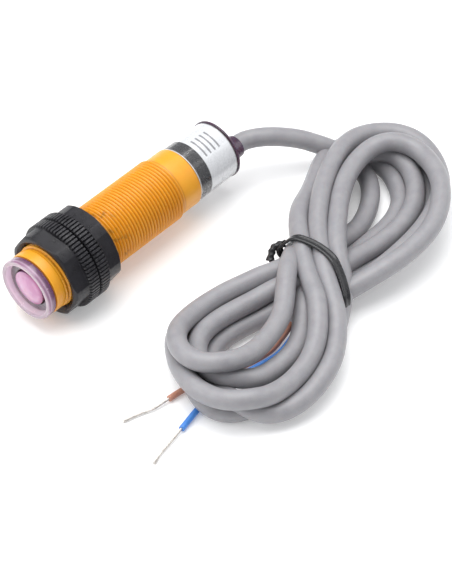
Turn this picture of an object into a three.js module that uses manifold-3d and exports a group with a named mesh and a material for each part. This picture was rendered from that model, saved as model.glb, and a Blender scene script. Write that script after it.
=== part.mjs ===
// Cylindrical M18 photoelectric sensor: the light emitter of a through-beam pair.
// Millimetres, +Z up. The optical axis runs along X, with the lens at -X and the cable at +X.
// The origin is on the surface that the sensor lies on, under the middle of the sensor.
// "Station" means the distance back from the front rim of the lens cap, along the optical axis.

import * as THREE from 'three';
import { mergeVertices } from 'three/addons/utils/BufferGeometryUtils.js';
import Module from 'manifold-3d';

const wasm = await Module();
wasm.setup();

// ---------------------------------------------------------------- driving dimensions

const GAP = 0.3;                    // clearance between pieces that touch
const ROUND = 48;                   // sides of a turned piece
const SMALL_ROUND = 20;             // sides of a small turned piece

const OVERALL = 75.2;               // front rim to the end of the cable boss
const FRONT = -OVERALL / 2;         // x of the front rim
const FLANGE_R = 12.2;              // knurled flange of a nut
const AXIS_Z = FLANGE_R;            // the flanges lie on the surface

const THREAD_R = 9.0;               // M18 x 1 crest
const BODY_R = 8.5;                 // smooth rear of the barrel
const COLLAR_R = 8.65;              // smooth front of the barrel
const BORE_R = 7.0;
const LABEL_SEAT_R = 7.7;
const COLLAR_START = 3.0;
const THREAD_START = 5.8;
const THREAD_END = 50.2;
const SEAT_START = 56.0;
const BARREL_END = 70.1;

const CAP_R = 8.6;                  // lens cap
const CAP_LENGTH = COLLAR_START - GAP;
const CAP_RIM_R = 7.35;             // inside of the rim
const CAP_RECESS = 1.9;             // depth of the recess
const SPIGOT_R = BORE_R - GAP;      // whatever plugs into the barrel
const CAP_SPIGOT_END = 5.4;
const LENS_R = 5.0;
const LENS_START = 0.5;
const LENS_END = 5.0;

const NUT_FLANGE = 3.45;            // thickness of the knurled flange
const NUT_HEX = 4.6;                // length of the hexagon
const NUT_ACROSS_FLATS = 21.5;
const NUT_CHAMFER_R = 11.0;         // radius of the chamfered outer face
const NUT_CORNER_R = 11.6;          // the corners of the hexagon are turned down to this radius
const NUT_LIP = 1.2;                // bore lip at each end of a nut
const NUT_LIP_R = THREAD_R + GAP;
const THREAD_RING_R = NUT_LIP_R + 0.6;
const FRONT_NUT_START = 6.8;
const REAR_NUT_START = FRONT_NUT_START + NUT_HEX + NUT_FLANGE + GAP;

const CABLE_R = 2.6;
const WIRE_R = 0.8;                 // insulated core
const STRANDS_R = 0.4;              // bare twisted copper of a core
const CABLE_Y = -3.0;               // the cable leaves off centre
const BOSS_R = 3.25;
const BOSS_START = 71.0;

const BOARD_Z = 0.6;                // half the thickness of the circuit board
const HANK_HEIGHT = 15.6;

// Where the cable runs free, from the boss down to the hank.
const RUN_ROUTE = [
  [37.95, -3.0, 12.2], [39.6, -3.05, 12.2], [41.6, -3.75, 12.2], [44.0, -5.1, 12.1],
  [47.0, -7.0, 11.6], [50.2, -9.4, 10.7], [52.6, -11.4, 9.8], [54.4, -13.0, 8.9],
];
const BROWN_ROUTE = [
  [6.6, -51.0, 2.6], [2.0, -51.9, 1.8], [-3.0, -52.3, 1.0], [-9.0, -51.4, 1.0],
  [-15.0, -49.4, 1.0], [-21.0, -47.0, 1.0], [-26.9, -45.2, 1.0], [-32.0, -44.5, 1.0],
];
const BLUE_ROUTE = [
  [6.6, -52.9, 2.6], [2.0, -54.1, 1.7], [-3.0, -54.5, 1.0], [-9.0, -53.5, 1.0],
  [-15.0, -52.2, 1.0], [-21.0, -51.5, 1.0], [-27.2, -51.7, 1.0], [-36.9, -53.5, 1.0],
];
const BROWN_STRANDS_ROUTE = [
  [-32.3, -44.5, 1.0], [-36.5, -43.9, 0.8], [-40.0, -42.5, 0.6], [-44.6, -41.0, 0.5],
];
const BLUE_STRANDS_ROUTE = [
  [-37.2, -53.55, 1.0], [-41.4, -54.3, 0.8], [-45.2, -54.8, 0.6], [-49.0, -55.8, 0.5],
];

// ---------------------------------------------------------------- helpers

const group = new THREE.Group();

function add(name, geometry, colour, roughness = 0.5, metalness = 0.0) {
  const material = new THREE.MeshStandardMaterial({ color: colour, roughness, metalness });
  const mesh = new THREE.Mesh(geometry, material);
  mesh.name = name;
  group.add(mesh);
  return mesh;
}

function toSolid(geometry) {
  const plain = geometry.clone();
  plain.deleteAttribute('normal');
  plain.deleteAttribute('uv');
  const merged = mergeVertices(plain);
  return new wasm.Manifold(new wasm.Mesh({
    numProp: 3,
    vertProperties: new Float32Array(merged.attributes.position.array),
    triVerts: new Uint32Array(merged.index.array),
  }));
}

function toGeometry(solid) {
  const mesh = solid.getMesh();
  const geometry = new THREE.BufferGeometry();
  geometry.setAttribute('position', new THREE.BufferAttribute(mesh.vertProperties, 3));
  geometry.setIndex(new THREE.BufferAttribute(mesh.triVerts, 1));
  return geometry;
}

// A piece turned about a line along X. The profile is a list of [station, radius]: it climbs the
// outside from the front to the back, then returns along the bore, or starts and ends on the axis.
function turned(profile, { sides = ROUND, y = 0, z = 0, bored = false } = {}) {
  const points = profile.map(([station, radius]) => new THREE.Vector2(radius, station));
  if (bored) points.push(points[0].clone());
  const geometry = new THREE.LatheGeometry(points, sides);
  geometry.rotateZ(-Math.PI / 2);
  geometry.translate(FRONT, y, AXIS_Z + z);
  return geometry;
}

// A plain cylinder along X between two stations.
function rod(start, end, radius, options = {}) {
  return turned([[start, 0], [start, radius], [end, radius], [end, 0]], options);
}

// A washer or sleeve along X between two stations.
function sleeve(start, end, inner, outer, options = {}) {
  const profile = [[start, inner], [start, outer], [end, outer], [end, inner]];
  return turned(profile, { ...options, bored: true });
}

// A box given by the station of its front, its length, its centre across and its underside.
function block(station, length, y, width, low, height) {
  const geometry = new THREE.BoxGeometry(length, width, height);
  geometry.translate(FRONT + station + length / 2, y, AXIS_Z + low + height / 2);
  return geometry;
}

// A round bar along a smooth curve through the given points.
function bar(points, radius, sides, steps) {
  const curve = new THREE.CatmullRomCurve3(points.map((p) => new THREE.Vector3(...p)));
  const section = new THREE.Shape();
  for (let i = 0; i < sides; i += 1) {
    const angle = (i / sides) * 2 * Math.PI;
    const x = radius * Math.cos(angle);
    const y = radius * Math.sin(angle);
    if (i === 0) section.moveTo(x, y);
    else section.lineTo(x, y);
  }
  section.closePath();
  return new THREE.ExtrudeGeometry(section, { steps, extrudePath: curve, bevelEnabled: false });
}

// A rectangle with round corners in the YZ plane, extruded along X.
function roundedPrism(x0, x1, yMin, yMax, zMin, zMax, radius) {
  const shape = new THREE.Shape();
  shape.moveTo(yMin + radius, zMin);
  shape.lineTo(yMax - radius, zMin);
  shape.absarc(yMax - radius, zMin + radius, radius, -Math.PI / 2, 0);
  shape.lineTo(yMax, zMax - radius);
  shape.absarc(yMax - radius, zMax - radius, radius, 0, Math.PI / 2);
  shape.lineTo(yMin + radius, zMax);
  shape.absarc(yMin + radius, zMax - radius, radius, Math.PI / 2, Math.PI);
  shape.lineTo(yMin, zMin + radius);
  shape.absarc(yMin + radius, zMin + radius, radius, Math.PI, 1.5 * Math.PI);
  const geometry = new THREE.ExtrudeGeometry(shape, {
    depth: x1 - x0, bevelEnabled: false, curveSegments: 5,
  });
  const toWorld = new THREE.Matrix4().makeBasis(
    new THREE.Vector3(0, 1, 0), new THREE.Vector3(0, 0, 1), new THREE.Vector3(1, 0, 0));
  geometry.applyMatrix4(toWorld);
  geometry.translate(x0, 0, 0);
  return geometry;
}

// ---------------------------------------------------------------- barrel, cap and lens

const THREAD_RUNOUT = 0.4;          // short cone at each end of the thread
add('barrel', turned([
  [COLLAR_START, BORE_R], [COLLAR_START, COLLAR_R - 0.2], [COLLAR_START + 0.2, COLLAR_R],
  [THREAD_START - THREAD_RUNOUT, COLLAR_R], [THREAD_START, THREAD_R],
  [THREAD_END - THREAD_RUNOUT, THREAD_R], [THREAD_END, BODY_R],
  [SEAT_START, BODY_R], [SEAT_START, LABEL_SEAT_R],
  [BARREL_END, LABEL_SEAT_R], [BARREL_END, BORE_R],
], { bored: true }), 0xf0a424, 0.42);

add('lens_cap', turned([
  [0, CAP_RIM_R], [0, CAP_R - 0.35], [0.35, CAP_R], [CAP_LENGTH, CAP_R],
  [CAP_LENGTH, SPIGOT_R], [CAP_SPIGOT_END, SPIGOT_R],
  [CAP_SPIGOT_END, LENS_R + GAP], [CAP_RECESS, LENS_R + GAP], [CAP_RECESS, CAP_RIM_R - 0.25],
], { bored: true }), 0xb894b4, 0.12);

const LENS_CROWN = 0.9;             // bulge of the front of the lens
add('lens', turned([
  [LENS_START, 0], [LENS_START + 0.1 * LENS_CROWN, 0.35 * LENS_R],
  [LENS_START + 0.45 * LENS_CROWN, 0.7 * LENS_R], [LENS_START + LENS_CROWN, LENS_R],
  [LENS_END, LENS_R], [LENS_END, 0],
]), 0xe9a4dc, 0.05);

const SHADE_END = 10.4;
const SHADE_BORE_R = 5.4;
add('shade_tube', sleeve(CAP_SPIGOT_END + GAP, SHADE_END, SHADE_BORE_R, SPIGOT_R), 0x17171a, 0.7);

// ---------------------------------------------------------------- light source

const LED_R = 2.5;
const LED_FRONT = 11.2;
const LED_BACK = 18.4;
const HOLDER_END = 16.6;
add('led_holder', sleeve(SHADE_END + GAP, HOLDER_END, LED_R + GAP, SPIGOT_R), 0x1d1d20, 0.65);
add('emitter_led', turned([
  [LED_FRONT, 0], [LED_FRONT + 0.35, 1.25], [LED_FRONT + 1.1, 2.1], [LED_FRONT + 2.4, LED_R],
  [LED_BACK, LED_R], [LED_BACK, 0],
], { sides: SMALL_ROUND }), 0x6f6aa0, 0.1);

const BOARD_START = 20.5;
const BOARD_END = 57.0;
const LEAD = 0.5;                   // square lead wire
const LEAD_PITCH = 2.54;
const LEAD_END = 24.0;              // where a lead ends, over its pad on the board
[1, 2].forEach((number) => {
  const y = (number - 1.5) * LEAD_PITCH;
  const start = LED_BACK + GAP;
  const lead = block(start, LEAD_END - start, y, LEAD, BOARD_Z + GAP, LEAD);
  add(`emitter_lead_${number}`, lead, 0xc8c8c8, 0.3, 0.9);
});

// ---------------------------------------------------------------- circuit board

const BOARD_WIDTH = 12.4;
add('main_board', block(BOARD_START, BOARD_END - BOARD_START, 0, BOARD_WIDTH, -BOARD_Z, 2 * BOARD_Z),
  0x1f6b3a, 0.5);

// Surface-mounted components: station, length, centre across, width, height, colour.
const COMPONENTS = {
  resistor_1: [25.6, 2.0, -3.6, 1.25, 0.5, 0x141414],
  resistor_2: [25.6, 2.0, 3.6, 1.25, 0.5, 0x141414],
  drive_transistor: [29.6, 2.9, -3.2, 1.4, 1.1, 0x202022],
  driver_ic: [34.0, 5.0, 0.0, 4.0, 1.5, 0x1b1b1d],
  chip_capacitor_1: [29.6, 2.0, 3.4, 1.25, 0.9, 0xb89a72],
  chip_capacitor_2: [40.6, 2.0, 3.4, 1.25, 0.9, 0xb89a72],
  resistor_3: [40.6, 2.0, -3.4, 1.25, 0.5, 0x141414],
  polarity_diode: [51.0, 3.6, 3.6, 1.6, 1.1, 0x222224],
};
Object.entries(COMPONENTS).forEach(([name, [station, length, y, width, height, colour]]) => {
  add(name, block(station, length, y, width, BOARD_Z + GAP, height), colour, 0.5);
});

const CAN_R = 2.0;                  // storage capacitor, a can standing on the board
const CAN_HEIGHT = 5.2;
const CAN_STATION = 46.6;
const can = new THREE.CylinderGeometry(CAN_R, CAN_R, CAN_HEIGHT, SMALL_ROUND);
can.rotateX(Math.PI / 2);
can.translate(FRONT + CAN_STATION, 0, AXIS_Z + BOARD_Z + GAP + CAN_HEIGHT / 2);
add('storage_capacitor', can, 0xb9bcc2, 0.3, 0.8);

// ---------------------------------------------------------------- rear end

const INDICATOR = { y: 3.4, z: 0.2, radius: 1.5, start: 58.8, shoulder: 62.9, tip: 64.4 };
const INDICATOR_LEAD = { start: 55.4, thickness: 0.4, pitch: 1.6 };
const PLUG_START = 64.8;            // spigot of the rear cap
const POTTING_START = 59.4;

add('indicator_led', turned([
  [INDICATOR.start, 0], [INDICATOR.start, INDICATOR.radius],
  [INDICATOR.shoulder, INDICATOR.radius],
  [INDICATOR.tip - 0.5, 0.73 * INDICATOR.radius], [INDICATOR.tip, 0],
], { sides: SMALL_ROUND, y: INDICATOR.y, z: INDICATOR.z }), 0xd8403a, 0.15);
[1, 2].forEach((number) => {
  const { start, thickness, pitch } = INDICATOR_LEAD;
  const y = INDICATOR.y + (number - 1.5) * pitch;
  const length = INDICATOR.start - GAP - start;
  const lead = block(start, length, y, thickness, BOARD_Z + GAP, thickness);
  add(`indicator_lead_${number}`, lead, 0xc8c8c8, 0.3, 0.9);
});

// Potting compound that locks the cable, with a hole for the cable and one for the indicator.
const HOLE_START = POTTING_START - 5;
const cableHole = toSolid(rod(HOLE_START, OVERALL + 5, CABLE_R + GAP,
  { sides: SMALL_ROUND, y: CABLE_Y }));
const indicatorHole = toSolid(rod(HOLE_START, INDICATOR.tip + GAP, INDICATOR.radius + GAP,
  { sides: SMALL_ROUND, y: INDICATOR.y, z: INDICATOR.z }));
const potting = toSolid(rod(POTTING_START, PLUG_START - GAP, SPIGOT_R));
add('potting_plug', toGeometry(potting.subtract(cableHole).subtract(indicatorHole)), 0x202024, 0.6);

const capBody = toSolid(turned([
  [PLUG_START, 0], [PLUG_START, SPIGOT_R], [BARREL_END + GAP, SPIGOT_R],
  [BARREL_END + GAP, BODY_R], [BOSS_START, BODY_R], [BOSS_START, 0],
]));
const boss = toSolid(turned([
  [BOSS_START - 1, 0], [BOSS_START - 1, BOSS_R], [OVERALL - 0.4, BOSS_R],
  [OVERALL, BOSS_R - 0.4], [OVERALL, 0],
], { sides: 32, y: CABLE_Y }));
add('rear_cap', toGeometry(capBody.add(boss).subtract(cableHole)), 0x4a2f45, 0.25);

// ---------------------------------------------------------------- label

const LABEL_INNER_R = LABEL_SEAT_R + GAP;
const LABEL_OUTER_R = LABEL_INNER_R + 0.2;
const FILM_INNER_R = LABEL_OUTER_R + GAP;
const FILM_OUTER_R = FILM_INNER_R + 0.1;
const LABEL_START = SEAT_START + GAP;
add('type_label', sleeve(LABEL_START, BARREL_END, LABEL_INNER_R, LABEL_OUTER_R), 0xe6e9ee, 0.35);
add('label_film', sleeve(LABEL_START, BARREL_END, FILM_INNER_R, FILM_OUTER_R), 0xf2f4f6, 0.08);

// ---------------------------------------------------------------- cable inside the sensor

const TAIL_START = 60.2;
add('cable_tail', rod(TAIL_START, OVERALL, CABLE_R, { sides: SMALL_ROUND, y: CABLE_Y }), 0xa6a5a9, 0.5);
const PAD_STATION = 54.0;           // where a core is soldered to the board
const CORE_OFFSET = 1.1;            // of a core from the middle of the cable
function innerCore(name, side, colour) {
  const y = CABLE_Y + side * CORE_OFFSET;
  const points = [
    [FRONT + TAIL_START - GAP, y, AXIS_Z],
    [FRONT + TAIL_START - 1.6, y, AXIS_Z + 0.5],
    [FRONT + BOARD_END, y, AXIS_Z + BOARD_Z + GAP + WIRE_R],
    [FRONT + PAD_STATION, y, AXIS_Z + BOARD_Z + GAP + WIRE_R],
  ];
  add(name, bar(points, WIRE_R, 8, 6), colour, 0.5);
}
innerCore('inner_core_brown', -1, 0x9a5a3c);
innerCore('inner_core_blue', 1, 0x2f6fd0);

// ---------------------------------------------------------------- nuts

// A nut has a hexagon at one end and a knurled flange at the other. Depths run from the hexagon.
function nutGeometry(start, flangeInFront) {
  const length = NUT_HEX + NUT_FLANGE;
  const at = (depth) => start + (flangeInFront ? length - depth : depth);
  const profile = (list) => (flangeInFront ? [...list].reverse() : list)
    .map(([depth, radius]) => [at(depth), radius]);
  const cornerR = NUT_ACROSS_FLATS / Math.sqrt(3);
  const hexLength = NUT_HEX + 0.5;    // runs a little way into the flange
  const hexagon = new THREE.CylinderGeometry(cornerR, cornerR, hexLength, 6);
  hexagon.rotateY(Math.PI / 6);
  hexagon.rotateZ(-Math.PI / 2);
  hexagon.translate(FRONT + at(hexLength / 2), 0, AXIS_Z);
  const envelope = turned(profile([
    [0, 0], [0, NUT_CHAMFER_R], [0.5, NUT_CORNER_R], [length, NUT_CORNER_R], [length, 0],
  ]));
  const flange = turned(profile([
    [NUT_HEX, 0], [NUT_HEX, FLANGE_R - 0.3], [NUT_HEX + 0.3, FLANGE_R],
    [length - 0.3, FLANGE_R], [length, FLANGE_R - 0.3], [length, 0],
  ]));
  const bore = turned(profile([
    [-1, 0], [-1, NUT_LIP_R + 0.9], [0, NUT_LIP_R + 0.9], [0.8, NUT_LIP_R], [NUT_LIP, NUT_LIP_R],
    [NUT_LIP, THREAD_RING_R + GAP], [length - NUT_LIP, THREAD_RING_R + GAP],
    [length - NUT_LIP, NUT_LIP_R], [length + 1, NUT_LIP_R], [length + 1, 0],
  ]));
  return toGeometry(toSolid(hexagon).intersect(toSolid(envelope)).add(toSolid(flange))
    .subtract(toSolid(bore)));
}

// The threaded inner face of a nut, a ring that follows the screw along the barrel.
function threadRing(start) {
  const length = NUT_HEX + NUT_FLANGE;
  return sleeve(start + NUT_LIP + GAP, start + length - NUT_LIP - GAP, NUT_LIP_R, THREAD_RING_R);
}

add('front_nut', nutGeometry(FRONT_NUT_START, false), 0x232427, 0.45);
add('front_nut_thread', threadRing(FRONT_NUT_START), 0x1c1d20, 0.5);
add('rear_nut', nutGeometry(REAR_NUT_START, true), 0x232427, 0.45);
add('rear_nut_thread', threadRing(REAR_NUT_START), 0x1c1d20, 0.5);

// ---------------------------------------------------------------- cable outside the sensor

add('cable_run', bar(RUN_ROUTE, CABLE_R, 12, 10), 0xa6a5a9, 0.5);

// The hank: a figure of eight tied at its waist. Its outer shape in plan, height HANK_HEIGHT.
const TIE_X = 21.0;
const TIE_WIDTH = 2.2;
const TAIL_R = 0.9;                 // the two ends of the tie, twisted together
const WAIST = { yMin: -60.6, yMax: -35.8, zMin: 1.7, zMax: 14.4, corner: 3.0 };

function hankOutline() {
  const shape = new THREE.Shape();
  shape.moveTo(22, -34.0);
  shape.bezierCurveTo(32, -26, 44, -15, 60, -15);
  shape.bezierCurveTo(73, -15, 79, -25, 78, -36);
  shape.bezierCurveTo(77, -48, 62, -65, 44, -65);
  shape.bezierCurveTo(34, -65, 26, -62, 20, -61.5);
  shape.bezierCurveTo(12, -66, 2, -74, -12, -74);
  shape.bezierCurveTo(-26, -74, -32.5, -66, -32.5, -56);
  shape.bezierCurveTo(-32.5, -40, -24, -31, -12, -31);
  shape.bezierCurveTo(0, -31, 10, -36, 22, -34.0);
  return shape;
}
const WIRE_CHANNEL = { xMin: -34, xMax: 6.9, yMin: -57.5, yMax: -41.5, height: 3.6 };

function hankGeometry() {
  const slab = toSolid(new THREE.ExtrudeGeometry(hankOutline(), {
    depth: HANK_HEIGHT, bevelEnabled: false, curveSegments: 7,
  }));
  const halfGroove = TIE_WIDTH / 2 + GAP;
  const around = new THREE.BoxGeometry(2 * halfGroove, 60, 60);
  around.translate(TIE_X, -48, 0);
  const core = toSolid(roundedPrism(TIE_X - halfGroove - 1, TIE_X + halfGroove + 1,
    WAIST.yMin, WAIST.yMax, WAIST.zMin, WAIST.zMax, WAIST.corner));
  const channel = new THREE.BoxGeometry(WIRE_CHANNEL.xMax - WIRE_CHANNEL.xMin,
    WIRE_CHANNEL.yMax - WIRE_CHANNEL.yMin, 2 * WIRE_CHANNEL.height);
  channel.translate((WIRE_CHANNEL.xMax + WIRE_CHANNEL.xMin) / 2,
    (WIRE_CHANNEL.yMax + WIRE_CHANNEL.yMin) / 2, 0);
  return toGeometry(slab.subtract(toSolid(around).subtract(core)).subtract(toSolid(channel)));
}
add('cable_hank', hankGeometry(), 0xa6a5a9, 0.5);

// The band of the twist tie goes once round the waist; its ends are twisted together beside it.
const BAND = 1.2;
const bandOuter = roundedPrism(TIE_X - TIE_WIDTH / 2, TIE_X + TIE_WIDTH / 2,
  WAIST.yMin - GAP - BAND, WAIST.yMax + GAP + BAND, WAIST.zMin - GAP - BAND, WAIST.zMax + GAP + BAND,
  WAIST.corner + GAP + BAND);
const bandInner = roundedPrism(TIE_X - TIE_WIDTH, TIE_X + TIE_WIDTH,
  WAIST.yMin - GAP, WAIST.yMax + GAP, WAIST.zMin - GAP, WAIST.zMax + GAP, WAIST.corner + GAP);
add('tie_band', toGeometry(toSolid(bandOuter).subtract(toSolid(bandInner))), 0x1b1c1f, 0.45);

const TAIL_ROUTE = [[20.9, -33.0, 9.6], [20.4, -31.6, 9.1], [17.4, -31.0, 8.0], [13.6, -31.6, 7.0]];
add('tie_twist', bar(TAIL_ROUTE, TAIL_R, 8, 6), 0x1b1c1f, 0.45);

add('brown_core', bar(BROWN_ROUTE, WIRE_R, 8, 22), 0x9a5a3c, 0.5);
add('blue_core', bar(BLUE_ROUTE, WIRE_R, 8, 24), 0x2f6fd0, 0.5);
add('brown_strands', bar(BROWN_STRANDS_ROUTE, STRANDS_R, 6, 8), 0xb9b4ac, 0.35, 0.8);
add('blue_strands', bar(BLUE_STRANDS_ROUTE, STRANDS_R, 6, 8), 0xb9b4ac, 0.35, 0.8);

export default group;
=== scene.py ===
# %% [markdown]
# # A photoelectric sensor on a table, with its cable wound and tied
#
# The object is a threaded sensor 18 mm across, lying on its two black nuts. The CAD model gives
# the pieces their places, sizes and joints. This lesson gives them their looks: it replaces the
# pieces whose surface matters (threads, knurling, cable, wires, tie) with finer meshes, and gives
# every piece a procedural material. Lengths in the tables are in millimetres; MM turns them into
# Blender's metres.

# %% Load the frame
import math

import bmesh
import bpy
import numpy as np
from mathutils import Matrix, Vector


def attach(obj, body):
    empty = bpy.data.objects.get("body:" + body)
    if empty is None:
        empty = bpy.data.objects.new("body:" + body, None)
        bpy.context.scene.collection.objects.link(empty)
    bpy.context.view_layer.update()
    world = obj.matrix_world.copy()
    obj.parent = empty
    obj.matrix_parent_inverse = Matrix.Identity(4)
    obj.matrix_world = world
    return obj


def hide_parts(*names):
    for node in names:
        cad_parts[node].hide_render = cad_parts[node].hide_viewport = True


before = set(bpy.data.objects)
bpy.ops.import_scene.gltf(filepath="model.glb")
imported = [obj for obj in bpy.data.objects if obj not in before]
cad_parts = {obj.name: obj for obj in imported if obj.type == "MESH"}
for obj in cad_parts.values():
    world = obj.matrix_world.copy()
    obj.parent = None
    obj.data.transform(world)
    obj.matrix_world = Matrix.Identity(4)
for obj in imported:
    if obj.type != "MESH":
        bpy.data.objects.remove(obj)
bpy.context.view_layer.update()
MM = 0.001

# %% [markdown]
# ## Camera
#
# A camera is placed by what it looks at, from which direction and how far away. The target is a
# spot on the table between the sensor and the hank. The camera stands low enough to see the lens
# cap, and high enough to see into the loops of the cable. A long lens keeps the object's
# proportions calm.

# %% Camera
CAMERA_TARGET = Vector((4.94, -29.62, 0.0)) * MM
CAMERA_AZIMUTH = math.radians(-47.19)
CAMERA_ELEVATION = math.radians(46.95)
CAMERA_DISTANCE = 636.1 * MM
CAMERA_LENS = 151.53

away = Vector((math.sin(CAMERA_AZIMUTH) * math.cos(CAMERA_ELEVATION),
               -math.cos(CAMERA_AZIMUTH) * math.cos(CAMERA_ELEVATION),
               math.sin(CAMERA_ELEVATION)))
camera = bpy.data.objects.new("camera", bpy.data.cameras.new("camera"))
bpy.context.scene.collection.objects.link(camera)
camera.location = CAMERA_TARGET + away * CAMERA_DISTANCE
camera.rotation_euler = (-away).to_track_quat("-Z", "Y").to_euler()
camera.data.lens = CAMERA_LENS
camera.data.sensor_width = 36.0
camera.data.clip_start = 0.01
bpy.context.scene.camera = camera
print("camera at", [round(c, 3) for c in camera.location])

# %% [markdown]
# ## Two tools for smooth shapes
#
# Cables, wires and the tie are all a section carried along a path. The path is a smooth curve
# through a few chosen points. The section is a circle, or any closed outline. Both are worked out
# as whole numpy arrays, so a thousand rings cost no more thought than one.

# %% Curves through points
def smooth_curve(points, spacing):
    """A Catmull-Rom curve through the points, resampled to even steps along its length.

    Between two points the curve is a cubic whose slope at each point runs parallel to the line
    between that point's neighbours.
    """
    knots = np.asarray(points, float)
    knots = np.vstack([2 * knots[0] - knots[1], knots, 2 * knots[-1] - knots[-2]])
    t = np.linspace(0, 1, 24, endpoint=False)[:, None, None]
    a, b, c, d = knots[:-3], knots[1:-2], knots[2:-1], knots[3:]
    dense = 0.5 * (2 * b + (c - a) * t + (2 * a - 5 * b + 4 * c - d) * t**2
                   + (3 * b - a - 3 * c + d) * t**3)
    dense = np.vstack([dense.transpose(1, 0, 2).reshape(-1, 3), knots[-2]])
    return even_steps(dense, spacing)


def even_steps(path, spacing):
    """The same path with its points moved to equal distances along it."""
    along = np.concatenate([[0], np.cumsum(np.linalg.norm(np.diff(path, axis=0), axis=1))])
    wanted = np.linspace(0, along[-1], max(2, round(along[-1] / spacing) + 1))
    return np.stack([np.interp(wanted, along, path[:, k]) for k in range(3)], axis=1)


def path_length(path):
    """The sum of the distances between neighbouring points."""
    return float(np.linalg.norm(np.diff(path, axis=0), axis=1).sum())


# %% Frames along a path
def path_frames(path):
    """Two unit vectors across the path at each point, turning as little as possible.

    The first side vector is carried from each point to the next by removing its part along the
    new direction, which leaves no twist. The longest path, the cable, has about a thousand points.
    """
    tangent = np.gradient(path, axis=0)
    tangent /= np.linalg.norm(tangent, axis=1, keepdims=True)
    side = np.empty_like(path)
    start = np.array([0.0, 0.0, 1.0])
    if abs(tangent[0] @ start) > 0.9:
        start = np.array([0.0, 1.0, 0.0])
    for i, direction in enumerate(tangent):
        start = start - direction * (start @ direction)
        start = start / np.linalg.norm(start)
        side[i] = start
    return tangent, side, np.cross(tangent, side)


# %% Meshes from grids
def grid_faces(rows, columns, wrap=True):
    """Quads between neighbouring rows and columns of a grid; wrap joins the last column back."""
    row = np.arange(rows - 1)[:, None]
    column = np.arange(columns if wrap else columns - 1)[None, :]
    following = (column + 1) % columns
    quads = np.stack([row * columns + column, row * columns + following,
                      (row + 1) * columns + following, (row + 1) * columns + column], axis=-1)
    return quads.reshape(-1, 4)


def new_mesh(name, vertices, faces, smooth=True):
    """An object at the origin from vertices in millimetres and a list of faces."""
    mesh = bpy.data.meshes.new(name)
    mesh.from_pydata((np.asarray(vertices) * MM).tolist(), [], [list(map(int, f)) for f in faces])
    mesh.validate()
    mesh.polygons.foreach_set("use_smooth", [smooth] * len(mesh.polygons))
    mesh.update()
    obj = bpy.data.objects.new(name, mesh)
    bpy.context.scene.collection.objects.link(obj)
    return obj


def sweep(name, path, outline):
    """A closed outline carried along a path, with its two ends filled by a fan.

    The outline is [points, 2] in the plane across the path, or [rings, points, 2] where it
    changes on the way. A vertex is the path point plus its two outline numbers times the two
    side vectors.
    """
    _, side, up = path_frames(path)
    outline = np.broadcast_to(outline, (len(path),) + np.shape(outline)[-2:])
    rings = (path[:, None] + outline[..., :1] * side[:, None] + outline[..., 1:] * up[:, None])
    rows, columns = rings.shape[:2]
    vertices = np.vstack([rings.reshape(-1, 3), path[0], path[-1]])
    last = (rows - 1) * columns
    step = np.arange(columns)
    following = (step + 1) % columns
    first_cap = np.stack([np.full(columns, rows * columns), following, step], axis=1)
    last_cap = np.stack([np.full(columns, rows * columns + 1), last + step, last + following], axis=1)
    faces = grid_faces(rows, columns).tolist() + first_cap.tolist() + last_cap.tolist()
    obj = new_mesh(name, vertices, faces)
    count = len(obj.data.polygons)
    obj.data.polygons.foreach_set("use_smooth", np.arange(count) < count - 2 * columns)
    return obj


def closed_grid(name, grid, sharp):
    """A grid of points whose last row joins its first, and whose columns go round: a ring."""
    rows, columns = grid.shape[:2]
    faces = grid_faces(rows + 1, columns) % (rows * columns)
    return clean(new_mesh(name, grid.reshape(-1, 3), faces.tolist()), sharp)


def capped_grid(name, grid, sharp):
    """A grid of points whose columns go round, closed at its first and last rows: a rod."""
    rows, columns = grid.shape[:2]
    faces = grid_faces(rows, columns).tolist()
    faces += [list(range(columns))[::-1], list(range((rows - 1) * columns, rows * columns))]
    return clean(new_mesh(name, grid.reshape(-1, 3), faces), sharp)


def joined(name, parts):
    """Several objects made one."""
    with bpy.context.temp_override(active_object=parts[0], selected_editable_objects=parts):
        bpy.ops.object.join()
    parts[0].name = name
    return parts[0]


def circle(radius, sides):
    """Points of a circle, in order."""
    angle = np.linspace(0, 2 * np.pi, sides, endpoint=False)
    return radius * np.stack([np.cos(angle), np.sin(angle)], axis=1)


# %% [markdown]
# ## The cable
#
# The cable is one length of round grey cable 5.2 mm thick. It leaves the boss of the sensor, drops
# to the table and is wound five times in a figure of eight, round two ends and through a waist
# where the tie holds it. Its last end is cut off square inside the left loops.
#
# The turns lie unevenly, so each loop is a list of points, sixteen to twenty of them, laid along the
# loop it stands for. The loops are joined in the order in which the cable runs through them. A
# short relaxation then stands in for the cable's own stiffness and weight: it rounds the bends,
# drops the turns onto each other, and pushes apart turns that touch. Under the tie, and where the
# cable dives into the hank, it lets them overlap. That is a shortcut: the waist as laid out is too
# narrow for its eleven strands.

# %% Route of the cable
CABLE_R = 2.6
CABLE_Y = -3.0                         # the boss sits off the centre
AXIS_Z = 12.2
TIE_X = 21.0
FREE_RUN = [
    (37.95, -3.0, 12.2), (39.6, -3.05, 12.2), (41.6, -3.75, 12.2), (44.0, -5.1, 12.1),
    (47.0, -7.0, 11.6), (50.2, -9.4, 10.7), (52.6, -11.4, 9.8), (54.4, -13.0, 8.9),
]
INTO_HANK = [
    (57.9, -16.6, 6.8), (60.6, -21.0, 4.4), (61.4, -26.0, 2.8), (60.0, -30.6, 2.6),
    (56.0, -35.2, 2.7), (50.3, -39.0, 2.7), (44.2, -41.4, 2.9), (38.5, -42.8, 4.4),
    (33.0, -43.4, 6.3), (21.0, -40.8, 8.8),
]
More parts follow.
